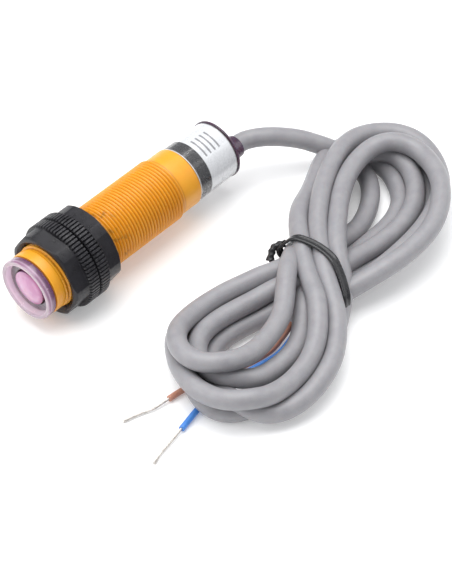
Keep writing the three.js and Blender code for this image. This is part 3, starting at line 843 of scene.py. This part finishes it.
def noise(tree, place, scale, detail=3.0, rough=0.55):
    """Soft noise from 0 to 1."""
    node = tree.nodes.new("ShaderNodeTexNoise")
    node.inputs["Scale"].default_value = scale
    node.inputs["Detail"].default_value = detail
    node.inputs["Roughness"].default_value = rough
    link(tree, place, node.inputs["Vector"])
    return node.outputs["Fac"]


def millimetres(tree, shift=(0.0, 0.0, 0.0), stretch=(1.0, 1.0, 1.0)):
    """Object coordinates in millimetres, moved by shift and then stretched."""
    coordinates = tree.nodes.new("ShaderNodeTexCoord")
    mapping = tree.nodes.new("ShaderNodeMapping")
    mapping.inputs["Scale"].default_value = tuple(1000 * s for s in stretch)
    mapping.inputs["Location"].default_value = tuple(-m * s for m, s in zip(shift, stretch))
    link(tree, coordinates.outputs["Object"], mapping.inputs["Vector"])
    return mapping.outputs["Vector"]


# %% Shared groups
def new_group(name, inputs, outputs):
    """An empty node group with named sockets, and its input and output nodes."""
    group = bpy.data.node_groups.new(name, "ShaderNodeTree")
    for label, kind, value in inputs:
        made = group.interface.new_socket(name=label, in_out="INPUT", socket_type=kind)
        if value is not None:
            made.default_value = value
    for label, kind in outputs:
        group.interface.new_socket(name=label, in_out="OUTPUT", socket_type=kind)
    return group, group.nodes.new("NodeGroupInput"), group.nodes.new("NodeGroupOutput")


def noise_of(group, entry, scale_name, detail):
    """Noise inside a group whose scale is one of the group's inputs."""
    node = group.nodes.new("ShaderNodeTexNoise")
    node.inputs["Detail"].default_value = detail
    link(group, entry.outputs["Place"], node.inputs["Vector"])
    link(group, entry.outputs[scale_name], node.inputs["Scale"])
    return node.outputs["Fac"]


def make_grain_group():
    """Moulded grain: two noises added give a normal, and the slow one also varies the gloss."""
    group, entry, leave = new_group(
        "moulded grain",
        [("Place", "NodeSocketVector", None), ("Fine", "NodeSocketFloat", 6.0),
         ("Slow", "NodeSocketFloat", 0.25), ("Height", "NodeSocketFloat", 0.01),
         ("Roughness", "NodeSocketFloat", 0.4), ("Spread", "NodeSocketFloat", 0.12)],
        [("Normal", "NodeSocketVector"), ("Roughness", "NodeSocketFloat"),
         ("Slow", "NodeSocketFloat")])
    fine, slow = noise_of(group, entry, "Fine", 4.0), noise_of(group, entry, "Slow", 3.0)
    bump = group.nodes.new("ShaderNodeBump")
    bump.inputs["Distance"].default_value = MM
    link(group, math_node(group, "ADD", fine, times(group, slow, 0.6)),
         bump.inputs["Height"])
    link(group, entry.outputs["Height"], bump.inputs["Strength"])
    spread = times(group, math_node(group, "SUBTRACT", slow, 0.5),
                       entry.outputs["Spread"])
    fine_spread = times(group, math_node(group, "SUBTRACT", fine, 0.5),
                            entry.outputs["Spread"])
    total = math_node(group, "ADD", entry.outputs["Roughness"],
                      math_node(group, "ADD", spread, fine_spread), clamp=True)
    link(group, bump.outputs["Normal"], leave.inputs["Normal"])
    link(group, total, leave.inputs["Roughness"])
    link(group, slow, leave.inputs["Slow"])
    return group


def make_dust_group():
    """Specks: the inner parts of scattered Voronoi cells, kept only where a slow noise is high."""
    group, entry, leave = new_group(
        "dust specks",
        [("Place", "NodeSocketVector", None), ("Scale", "NodeSocketFloat", 1.2),
         ("Size", "NodeSocketFloat", 0.1), ("Rarity", "NodeSocketFloat", 0.55)],
        [("Mask", "NodeSocketFloat")])
    cells = group.nodes.new("ShaderNodeTexVoronoi")
    link(group, entry.outputs["Place"], cells.inputs["Vector"])
    link(group, entry.outputs["Scale"], cells.inputs["Scale"])
    inside = math_node(group, "LESS_THAN", cells.outputs["Distance"], entry.outputs["Size"])
    chance = group.nodes.new("ShaderNodeSeparateColor")
    link(group, cells.outputs["Color"], chance.inputs["Color"])
    rare = math_node(group, "GREATER_THAN", chance.outputs["Red"], entry.outputs["Rarity"])
    link(group, times(group, inside, rare), leave.inputs["Mask"])
    return group


def make_edge_group():
    """Edges: where the geometry's pointiness is high the mask is 1, broken up by noise."""
    group, entry, leave = new_group(
        "worn and glinting edges",
        [("Place", "NodeSocketVector", None), ("Low", "NodeSocketFloat", 0.52),
         ("High", "NodeSocketFloat", 0.6), ("Scale", "NodeSocketFloat", 1.5)],
        [("Mask", "NodeSocketFloat")])
    point = group.nodes.new("ShaderNodeNewGeometry")
    node = group.nodes.new("ShaderNodeMapRange")
    link(group, point.outputs["Pointiness"], node.inputs["Value"])
    link(group, entry.outputs["Low"], node.inputs["From Min"])
    link(group, entry.outputs["High"], node.inputs["From Max"])
    uneven = noise_of(group, entry, "Scale", 4.0)
    broken = ramp(group, uneven, 0.35, 0.65)
    link(group, times(group, node.outputs["Result"], broken),
         leave.inputs["Mask"])
    return group


GRAIN, DUST, EDGE_WEAR_AND_GLINT = make_grain_group(), make_dust_group(), make_edge_group()


def use(tree, group, place, **values):
    """Places a group in a material with its own numbers."""
    node = tree.nodes.new("ShaderNodeGroup")
    node.node_tree = group
    link(tree, place, node.inputs["Place"])
    for name, value in values.items():
        node.inputs[name].default_value = value
    return node.outputs


def finish(name, **plain):
    """A new material with a Principled shader: returns it, its tree and its shader node."""
    material = bpy.data.materials.new(name)
    material.use_nodes = True
    tree = material.node_tree
    shader = tree.nodes["Principled BSDF"]
    for label, value in plain.items():
        shader.inputs[label.replace("_", " ")].default_value = value
    return material, tree, shader


def surface(material, tree, shader, colour, grain):
    """Joins the colour and the grain group's gloss and normal to the shader; gives the material."""
    if colour is not None:
        link(tree, colour, shader.inputs["Base Color"])
    link(tree, grain["Roughness"], shader.inputs["Roughness"])
    link(tree, grain["Normal"], shader.inputs["Normal"])
    return material


def put_on(obj, material):
    """Makes a material the object's only one, in each of its slots."""
    if not obj.material_slots:
        obj.data.materials.append(material)
    for slot in obj.material_slots:
        slot.material = material


# %% [markdown]
# ## Radius and station as coordinates
#
# On a turned piece most changes of finish happen at a station or a radius: the cap's clear rim,
# the label's printed bands. Both come from Object coordinates. The station is x plus half the
# length; the radius is the distance of (y, z) from the axis.

# %% Axis coordinates
def make_axis_group():
    """Station and radius in millimetres, and the angle round the axis in turns from 0 to 1."""
    group, entry, leave = new_group(
        "along and round the axis", [("Place", "NodeSocketVector", None)],
        [("Station", "NodeSocketFloat"), ("Radius", "NodeSocketFloat"),
         ("Turn", "NodeSocketFloat")])
    parts = group.nodes.new("ShaderNodeSeparateXYZ")
    link(group, entry.outputs["Place"], parts.inputs["Vector"])
    y, z = parts.outputs["Y"], math_node(group, "SUBTRACT", parts.outputs["Z"], AXIS_Z)
    square = math_node(group, "ADD", times(group, y, y),
                       times(group, z, z))
    turn = math_node(group, "DIVIDE", math_node(group, "ARCTAN2", y, z), 2 * math.pi)
    link(group, math_node(group, "ADD", parts.outputs["X"], -FRONT), leave.inputs["Station"])
    link(group, math_node(group, "SQRT", square), leave.inputs["Radius"])
    link(group, math_node(group, "ADD", turn, 0.5), leave.inputs["Turn"])
    return group


AXIS = make_axis_group()


def band(tree, value, low, high, soft=0.03):
    """A mask that is 1 between low and high, with soft ends."""
    risen = ramp(tree, value, low - soft, low + soft)
    return times(tree, risen, invert(tree, ramp(tree, value, high - soft, high + soft)))


# %% [markdown]
# ## Orange housing
#
# Polished PBT plastic: warm orange with a little light scattered below the surface, which keeps
# the shaded side warm. It has a fine grain, painted shade in the roots of the thread, dark smudges in
# the thread near the rear nut, and a few specks on the smooth part.

# %% Orange plastic
def orange_plastic():
    """Orange with painted shade in the thread roots, dark smudges on the thread and rare dark specks.
    """
    material, tree, shader = finish("orange_plastic", Subsurface_Weight=0.12,
                                    Subsurface_Scale=1.2 * MM, Coat_Roughness=0.25,
                                    Specular_IOR_Level=0.5)
    shader.inputs["Subsurface Radius"].default_value = (1.0, 0.4, 0.1)
    place = millimetres(tree)
    axis = use(tree, AXIS, place)
    grain = use(tree, GRAIN, place, Fine=5.0, Slow=0.3, Height=0.10, Roughness=0.36, Spread=0.14)
    slow = noise(tree, place, 0.12, 2.0)
    colour = mix(tree, ramp(tree, slow, 0.3, 0.7), (0.755, 0.318, 0.011), (0.80, 0.350, 0.015))
    # Painted shade: the thread roots and lower flanks are darkened, as the shade between the ridges.
    root = invert(tree, ramp(tree, axis["Radius"], 8.36, 8.72))
    threaded = band(tree, axis["Station"], THREAD_START, THREAD_END, 0.2)
    root = times(tree, root, threaded)
    smudge = ramp(tree, noise(tree, place, 0.30, 5.0, 0.7), 0.52, 0.64)
    near_nut = invert(tree, ramp(tree, axis["Station"], 25.0, 33.0))
    dirty = times(tree, smudge, times(tree, near_nut, threaded))
    colour = mix(tree, times(tree, root, 0.6), colour, (0.48, 0.15, 0.006))
    colour = mix(tree, times(tree, dirty, 0.6), colour, (0.16, 0.08, 0.02))
    specks = use(tree, DUST, place, Scale=0.45, Size=0.07, Rarity=0.72)["Mask"]
    smooth_part = ramp(tree, axis["Station"], THREAD_END, THREAD_END + 0.6)
    colour = mix(tree, times(tree, times(tree, specks, smooth_part), 0.85), colour,
                 (0.05, 0.03, 0.02))
    return surface(material, tree, shader, colour, grain)


ORANGE = orange_plastic()
for piece in (barrel, thread):
    put_on(piece, ORANGE)

# %% [markdown]
# ## Lens cap and lens
#
# The cap is a tinted clear plastic with a mauve cast. It is mostly milky: some light passes, most
# scatters. Its floor is darker where it meets the orange barrel, and the lens in the middle glows
# pink, with painted shade in magenta along one side of its edge. The inner wall glows a little
# with painted light, which stands for the light that a clear wall lets through.

# %% Mauve cap
def mauve_plastic():
    """Milky mauve: pale at the rim, greyer on the ledge, darker purple towards the barrel, a painted
    dark line of shade in the recess corner and a painted glow on the inner wall.
    """
    material, tree, shader = finish("mauve_plastic", IOR=1.35, Subsurface_Weight=0.25,
                                    Subsurface_Scale=0.6 * MM, Transmission_Weight=0.55,
                                    Coat_Weight=0.5, Coat_Roughness=0.08)
    shader.inputs["Subsurface Radius"].default_value = (1.0, 0.6, 0.8)
    place = millimetres(tree)
    axis = use(tree, AXIS, place)
    grain = use(tree, GRAIN, place, Fine=2.5, Slow=0.2, Height=0.04, Roughness=0.24, Spread=0.1)
    station, radius = axis["Station"], axis["Radius"]
    side = mix(tree, band(tree, station, 0.8, 1.2, 0.25), (0.38, 0.21, 0.33),
               (0.62, 0.45, 0.58))
    side = mix(tree, ramp(tree, station, 1.5, 2.3), side, (0.17, 0.045, 0.15))
    rim_face = mix(tree, ramp(tree, radius, 8.5, 8.8), (0.74, 0.62, 0.69), (0.30, 0.19, 0.27))
    colour = mix(tree, ramp(tree, station, 0.05, 0.4), rim_face, side)
    inside = invert(tree, ramp(tree, radius, 7.55, 7.75))
    wall = mix(tree, ramp(tree, station, 0.2, 0.5), (0.52, 0.40, 0.48), (0.92, 0.78, 0.88))
    colour = mix(tree, inside, colour, wall)
    streaks = noise(tree, millimetres(tree, (0.0, 2.0, 0.0), (1.0, 0.15, 1.0)), 1.2, 3.0)
    grey = mix(tree, ramp(tree, streaks, 0.3, 0.7), (0.20, 0.15, 0.19), (0.34, 0.28, 0.32))
    at_floor = ramp(tree, station, 1.6, 1.8)
    floor_part = times(tree, invert(tree, ramp(tree, radius, 6.98, 7.06)), at_floor)
    colour = mix(tree, floor_part, colour, grey)
    # Painted shade: a thin dark line in the corner where the recess wall meets its floor.
    ledge = times(tree, band(tree, radius, 6.92, 7.1, 0.04), at_floor)
    colour = mix(tree, times(tree, ledge, 0.8), colour, (0.08, 0.05, 0.08))
    # Painted light: the inner wall glows, standing for light let through the clear wall.
    painted_glow_wall = times(tree, inside, invert(tree, floor_part))
    shader.inputs["Emission Color"].default_value = (0.82, 0.66, 0.74, 1.0)
    link(tree, times(tree, painted_glow_wall, 0.22), shader.inputs["Emission Strength"])
    return surface(material, tree, shader, colour, grain)


# %% Pink lens
def pink_lens():
    """Pink in the middle of the lens, with painted shade in magenta towards its edge on one side."""
    material, tree, shader = finish("pink_lens_plastic", IOR=1.5, Subsurface_Weight=0.3,
                                    Subsurface_Scale=1.0 * MM, Transmission_Weight=0.3,
                                    Coat_Weight=0.8, Coat_Roughness=0.03)
    place = millimetres(tree)
    axis = use(tree, AXIS, place)
    grain = use(tree, GRAIN, place, Fine=1.5, Slow=0.3, Height=0.02, Roughness=0.12, Spread=0.08)
    uneven = noise(tree, place, 0.35, 2.0)
    colour = mix(tree, ramp(tree, uneven, 0.35, 0.65), (0.66, 0.27, 0.50), (0.74, 0.36, 0.60))
    parts = tree.nodes.new("ShaderNodeSeparateXYZ")
    link(tree, place, parts.inputs["Vector"])
    # Painted shade: the lens edge turns darker magenta on one side only.
    side = ramp(tree, times(tree, parts.outputs["Y"], -1.0), -5.5, 2.0)
    edge = times(tree, ramp(tree, axis["Radius"], 3.6, 4.9), side)
    colour = mix(tree, edge, colour, (0.42, 0.06, 0.24))
    rim = ramp(tree, axis["Radius"], 4.72, 4.95)
    colour = mix(tree, times(tree, rim, 0.7), colour, (0.20, 0.05, 0.13))
    return surface(material, tree, shader, colour, grain)


put_on(lens_cap, mauve_plastic())
put_on(lens, pink_lens())

# %% [markdown]
# ## Nuts
#
# Black glass-filled nylon, satin rather than glossy. The moulding has a fine grain, the corners of
# the hexagon and the tips of the teeth are lighter, partly rubbed and partly a painted highlight, and
# a little pale dust lies on it.

# %% Black nylon
def black_nylon(name, rough, edge_wear_and_glint):
    """Charcoal with lighter edges, partly wear and partly painted highlight, and a little dust."""
    material, tree, shader = finish(name, Specular_IOR_Level=0.34, Coat_Roughness=0.3)
    place = millimetres(tree)
    grain = use(tree, GRAIN, place, Fine=4.0, Slow=0.35, Height=0.16, Roughness=rough, Spread=0.2)
    # Lighter edges: partly wear, partly a painted highlight along the edges.
    edges = use(tree, EDGE_WEAR_AND_GLINT, place, Low=0.545, High=0.62, Scale=1.8)["Mask"]
    colour = mix(tree, ramp(tree, grain["Slow"], 0.3, 0.7), (0.008, 0.0075, 0.010),
                 (0.014, 0.013, 0.017))
    colour = mix(tree, times(tree, edges, edge_wear_and_glint), colour, (0.22, 0.22, 0.23))
    specks = use(tree, DUST, place, Scale=1.4, Size=0.06, Rarity=0.8)["Mask"]
    colour = mix(tree, times(tree, specks, 0.5), colour, (0.30, 0.29, 0.28))
    return surface(material, tree, shader, colour, grain)


NYLON = black_nylon("black_nylon", 0.31, 0.4)
for piece in (front_nut, rear_nut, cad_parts["front_nut_thread"],
              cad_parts["rear_nut_thread"]):
    put_on(piece, NYLON)

# %% [markdown]
# ## Label
#
# The foil is printed with a black band and left silvery behind it. The real print carries words and
# signs, which are left out: a short block of plain grey lines stands where the small print would
# be. The clear film over it has a seam that runs along the sensor, and beyond the seam the foil
# looks greyer.

# %% Printed foil
LABEL_EDGE, BLACK_END = 56.55, 60.4


def printed_foil():
    """Silver foil with a black band and plain lines, greyer past the seam."""
    material, tree, shader = finish("printed_foil", Specular_IOR_Level=0.5, Coat_Weight=0.6,
                                    Coat_Roughness=0.06)
    place = millimetres(tree)
    axis = use(tree, AXIS, place)
    station, turn = axis["Station"], axis["Turn"]
    grain = use(tree, GRAIN, place, Fine=3.0, Slow=0.4, Height=0.05, Roughness=0.28, Spread=0.15)
    brushed = noise(tree, millimetres(tree, (0.0, 0.0, 0.0), (0.3, 3.0, 3.0)), 1.5, 4.0)
    silver = mix(tree, ramp(tree, brushed, 0.3, 0.7), (0.68, 0.69, 0.71), (0.73, 0.74, 0.76))
    past_seam = invert(tree, ramp(tree, turn, 0.196, 0.2))
    silver = mix(tree, times(tree, past_seam, 0.75), silver, (0.40, 0.40, 0.41))
    bars = band(tree, math_node(tree, "FRACT", times(tree, station, 0.62)), 0.25, 0.60)
    long_bar = times(tree, band(tree, turn, 0.40, 0.52, 0.002), band(tree, station, 61.4, 67.6))
    block = times(tree, band(tree, turn, 0.60, 0.66, 0.002), band(tree, station, 62.0, 67.0))
    printed = times(tree, bars, math_node(tree, "MAXIMUM", long_bar, block))
    colour = mix(tree, times(tree, printed, 0.8), silver, (0.12, 0.12, 0.13))
    black = band(tree, station, LABEL_EDGE, BLACK_END)
    scuffed = mix(tree, ramp(tree, noise(tree, place, 1.6, 5.0), 0.5, 0.8),
                  (0.012, 0.012, 0.014), (0.035, 0.035, 0.038))
    colour = mix(tree, black, colour, scuffed)
    rear_line = ramp(tree, station, BARREL_END - 0.28, BARREL_END - 0.22)
    colour = mix(tree, times(tree, rear_line, 0.6), colour, (0.10, 0.09, 0.10))
    link(tree, times(tree, invert(tree, black), 0.08), shader.inputs["Metallic"])
    return surface(material, tree, shader, colour, grain)


# %% Clear film
def clear_film():
    """Thin clear plastic: mostly see-through, with a few scratches and a milky seam."""
    material, tree, shader = finish("clear_film_plastic", IOR=1.45, Coat_Weight=0.0)
    shader.inputs["Base Color"].default_value = (0.60, 0.60, 0.62, 1.0)
    place = millimetres(tree)
    axis = use(tree, AXIS, place)
    grain = use(tree, GRAIN, place, Fine=1.2, Slow=0.3, Height=0.05, Roughness=0.10, Spread=0.12)
    seam = band(tree, axis["Turn"], 0.196, 0.201, 0.001)
    scratch = ramp(tree, noise(tree, millimetres(tree, (0.0, 0.0, 0.0), (0.2, 6.0, 6.0)), 2.0,
                               2.0), 0.72, 0.80)
    marks = math_node(tree, "ADD", times(tree, seam, 0.4), times(tree, scratch, 0.08))
    alpha = math_node(tree, "ADD", 0.03, marks, clamp=True)
    link(tree, alpha, shader.inputs["Alpha"])
    return surface(material, tree, shader, None, grain)


put_on(label, printed_foil())
put_on(film, clear_film())


# %% Dark purple rear cap
def purple_plastic():
    """Very dark purple, a little light let through at the rim."""
    material, tree, shader = finish("dark_purple_plastic", IOR=1.5, Transmission_Weight=0.12,
                                    Subsurface_Weight=0.2, Subsurface_Scale=0.8 * MM,
                                    Coat_Weight=0.3, Coat_Roughness=0.1)
    place = millimetres(tree)
    grain = use(tree, GRAIN, place, Fine=3.0, Slow=0.4, Height=0.06, Roughness=0.26, Spread=0.12)
    colour = mix(tree, ramp(tree, grain["Slow"], 0.3, 0.7), (0.050, 0.022, 0.050),
                 (0.095, 0.045, 0.085))
    return surface(material, tree, shader, colour, grain)


PURPLE = purple_plastic()
put_on(cap_flange, PURPLE)
put_on(cap_boss, PURPLE)

# %% [markdown]
# ## Cable, wires and tie
#
# PVC has a soft satin gloss, faint lengthwise unevenness from extrusion, and fine dirt from
# handling. The tie is a blacker, glossier PVC. The strands are tinned copper, so they are metal.

# %% PVC
def pvc(name, low, high, rough, soft=0.06):
    """Satin PVC between two colours, with soft dirt patches and tiny specks."""
    material, tree, shader = finish(name, Subsurface_Weight=soft, Subsurface_Scale=0.8 * MM,
                                    Coat_Roughness=0.3)
    place = millimetres(tree)
    grain = use(tree, GRAIN, place, Fine=3.2, Slow=0.35, Height=0.10, Roughness=rough, Spread=0.18)
    colour = mix(tree, ramp(tree, grain["Slow"], 0.3, 0.7), low, high)
    patches = ramp(tree, noise(tree, place, 0.16, 4.0, 0.65), 0.55, 0.75)
    darker = tuple(0.72 * c for c in low)
    colour = mix(tree, times(tree, patches, 0.25), colour, darker)
    specks = use(tree, DUST, place, Scale=0.9, Size=0.05, Rarity=0.78)["Mask"]
    colour = mix(tree, times(tree, specks, 0.5), colour, tuple(0.35 * c for c in low))
    return surface(material, tree, shader, colour, grain)


GREY_PVC = pvc("grey_pvc", (0.275, 0.268, 0.285), (0.305, 0.298, 0.312), 0.40)
put_on(cable, GREY_PVC)
put_on(jacket_end, GREY_PVC)
BROWN_PVC = pvc("brown_pvc", (0.46, 0.205, 0.135), (0.54, 0.26, 0.18), 0.38)
BLUE_PVC = pvc("blue_pvc", (0.060, 0.225, 0.66), (0.080, 0.27, 0.72), 0.38)
put_on(wires["brown"][0], BROWN_PVC)
put_on(wires["blue"][0], BLUE_PVC)
BLACK_PVC = pvc("black_tie_pvc", (0.010, 0.010, 0.012), (0.018, 0.018, 0.020), 0.30, soft=0.0)
put_on(tie_band, BLACK_PVC)
put_on(tie_tails, BLACK_PVC)


# %% Metals
def metal(name, low, high, rough, stretch=(1.0, 1.0, 1.0)):
    """Metal between two colours with fine unevenness, drawn out along a direction if asked."""
    material, tree, shader = finish(name, Metallic=1.0)
    place = millimetres(tree, stretch=stretch)
    grain = use(tree, GRAIN, place, Fine=4.0, Slow=0.5, Height=0.06, Roughness=rough, Spread=0.25)
    colour = mix(tree, ramp(tree, grain["Slow"], 0.3, 0.7), low, high)
    return surface(material, tree, shader, colour, grain)


TINNED = metal("tinned_copper", (0.62, 0.58, 0.54), (0.80, 0.77, 0.73), 0.30)
CAN = metal("aluminium_can", (0.68, 0.68, 0.70), (0.80, 0.80, 0.82), 0.28, stretch=(1, 4, 4))
for strands in bare.values():
    put_on(strands, TINNED)

# %% [markdown]
# ## Inside the barrel
#
# The electronics are hidden, yet each piece gets the finish that it has on a real sensor, because
# the pieces may be shown on their own. They keep their CAD meshes.

# %% Inner pieces
def painted(name, low, high, rough, scale=0.8, **plain):
    """A plain moulded or coated surface between two colours."""
    material, tree, shader = finish(name, **plain)
    place = millimetres(tree)
    grain = use(tree, GRAIN, place, Fine=5.0, Slow=scale, Height=0.12, Roughness=rough,
                Spread=0.15)
    colour = mix(tree, ramp(tree, grain["Slow"], 0.35, 0.65), low, high)
    return surface(material, tree, shader, colour, grain)


def circuit_board():
    """Green solder mask over a weave of glass, with paler copper tracks beneath it."""
    material, tree, shader = finish("circuit_board_green", Coat_Weight=0.4, Coat_Roughness=0.15)
    place = millimetres(tree)
    grain = use(tree, GRAIN, place, Fine=6.0, Slow=0.6, Height=0.08, Roughness=0.34, Spread=0.1)
    tracks = tree.nodes.new("ShaderNodeTexBrick")
    tracks.inputs["Scale"].default_value = 0.7
    tracks.inputs["Mortar Size"].default_value = 0.07
    tracks.inputs["Mortar Smooth"].default_value = 0.2
    link(tree, place, tracks.inputs["Vector"])
    colour = mix(tree, tracks.outputs["Fac"], (0.012, 0.10, 0.040), (0.05, 0.22, 0.08))
    return surface(material, tree, shader, colour, grain)


INNER = {
    black_nylon("black_insert_plastic", 0.5, 0.3): ("shade_tube", "led_holder"),
    painted("clear_red_epoxy", (0.45, 0.10, 0.12), (0.55, 0.16, 0.18), 0.12, IOR=1.5,
            Transmission_Weight=0.5): ("emitter_led",),
    painted("amber_epoxy", (0.75, 0.35, 0.04), (0.85, 0.45, 0.08), 0.12, IOR=1.5,
            Transmission_Weight=0.5): ("indicator_led",),
    TINNED: ("emitter_lead_1", "emitter_lead_2", "indicator_lead_1", "indicator_lead_2"),
    circuit_board(): ("main_board",),
    painted("chip_black_epoxy", (0.015, 0.015, 0.016), (0.03, 0.03, 0.032), 0.45):
        ("resistor_1", "resistor_2", "resistor_3", "drive_transistor", "driver_ic",
         "polarity_diode"),
    painted("tan_ceramic", (0.42, 0.28, 0.15), (0.50, 0.35, 0.20), 0.4):
        ("chip_capacitor_1", "chip_capacitor_2"),
    CAN: ("storage_capacitor",),
    painted("potting_resin", (0.02, 0.02, 0.022), (0.04, 0.04, 0.042), 0.25, 0.3,
            Coat_Weight=0.3): ("potting_plug",),
    GREY_PVC: ("cable_tail",),
    BROWN_PVC: ("inner_core_brown",),
    BLUE_PVC: ("inner_core_blue",),
}
for material, nodes in INNER.items():
    for node in nodes:
        put_on(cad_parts[node], material)
print("inner pieces finished:", sum(len(nodes) for nodes in INNER.values()))

# %% [markdown]
# ## Floor and light
#
# The object lies on plain white paper in soft light from all sides, a little stronger from above
# and behind. Wide area lamps make soft shadows and long calm highlights on the cable. The paper
# gives off a little light as well, which lifts the shadows.

# %% Floor
floor_mesh = bpy.data.meshes.new("paper_floor")
HALF = 1.5                    # metres
floor_mesh.from_pydata([(-HALF, -HALF, 0), (HALF, -HALF, 0), (HALF, HALF, 0), (-HALF, HALF, 0)],
                       [], [(0, 1, 2, 3)])
floor = bpy.data.objects.new("paper_floor", floor_mesh)
bpy.context.scene.collection.objects.link(floor)
paper, paper_tree, paper_shader = finish("white_paper", Roughness=0.9,
                                         Specular_IOR_Level=0.1, Emission_Strength=0.22)
paper_noise = noise(paper_tree, millimetres(paper_tree), 0.8, 4.0)
link(paper_tree, mix(paper_tree, paper_noise, (0.84, 0.84, 0.84), (0.87, 0.87, 0.87)),
     paper_shader.inputs["Base Color"])
put_on(floor, paper)


# %% Lamps
LIT_SPOT = Vector((0.0, -0.02, 0.0))


def area_lamp(name, place, size, watts):
    """A square area lamp at a place in metres, turned towards the object."""
    data = bpy.data.lights.new(name, "AREA")
    data.size, data.energy = size, watts
    lamp = bpy.data.objects.new(name, data)
    bpy.context.scene.collection.objects.link(lamp)
    lamp.location = place
    lamp.rotation_euler = (LIT_SPOT - Vector(place)).to_track_quat("-Z", "Y").to_euler()
    return lamp


area_lamp("soft_top", (0.05, 0.10, 0.75), 0.7, 6.4)
area_lamp("soft_left", (-0.55, 0.30, 0.45), 0.5, 2.2)
area_lamp("soft_right", (0.60, -0.30, 0.40), 0.5, 1.1)
# Pictures are shown without a film curve, so a plastic's colour looks as it is given here.
bpy.context.scene.view_settings.view_transform = "Standard"
world = bpy.data.worlds.new("pale_surround")
bpy.context.scene.world = world
world.use_nodes = True
world.node_tree.nodes["Background"].inputs["Color"].default_value = (0.95, 0.97, 1.0, 1.0)
world.node_tree.nodes["Background"].inputs["Strength"].default_value = 0.48
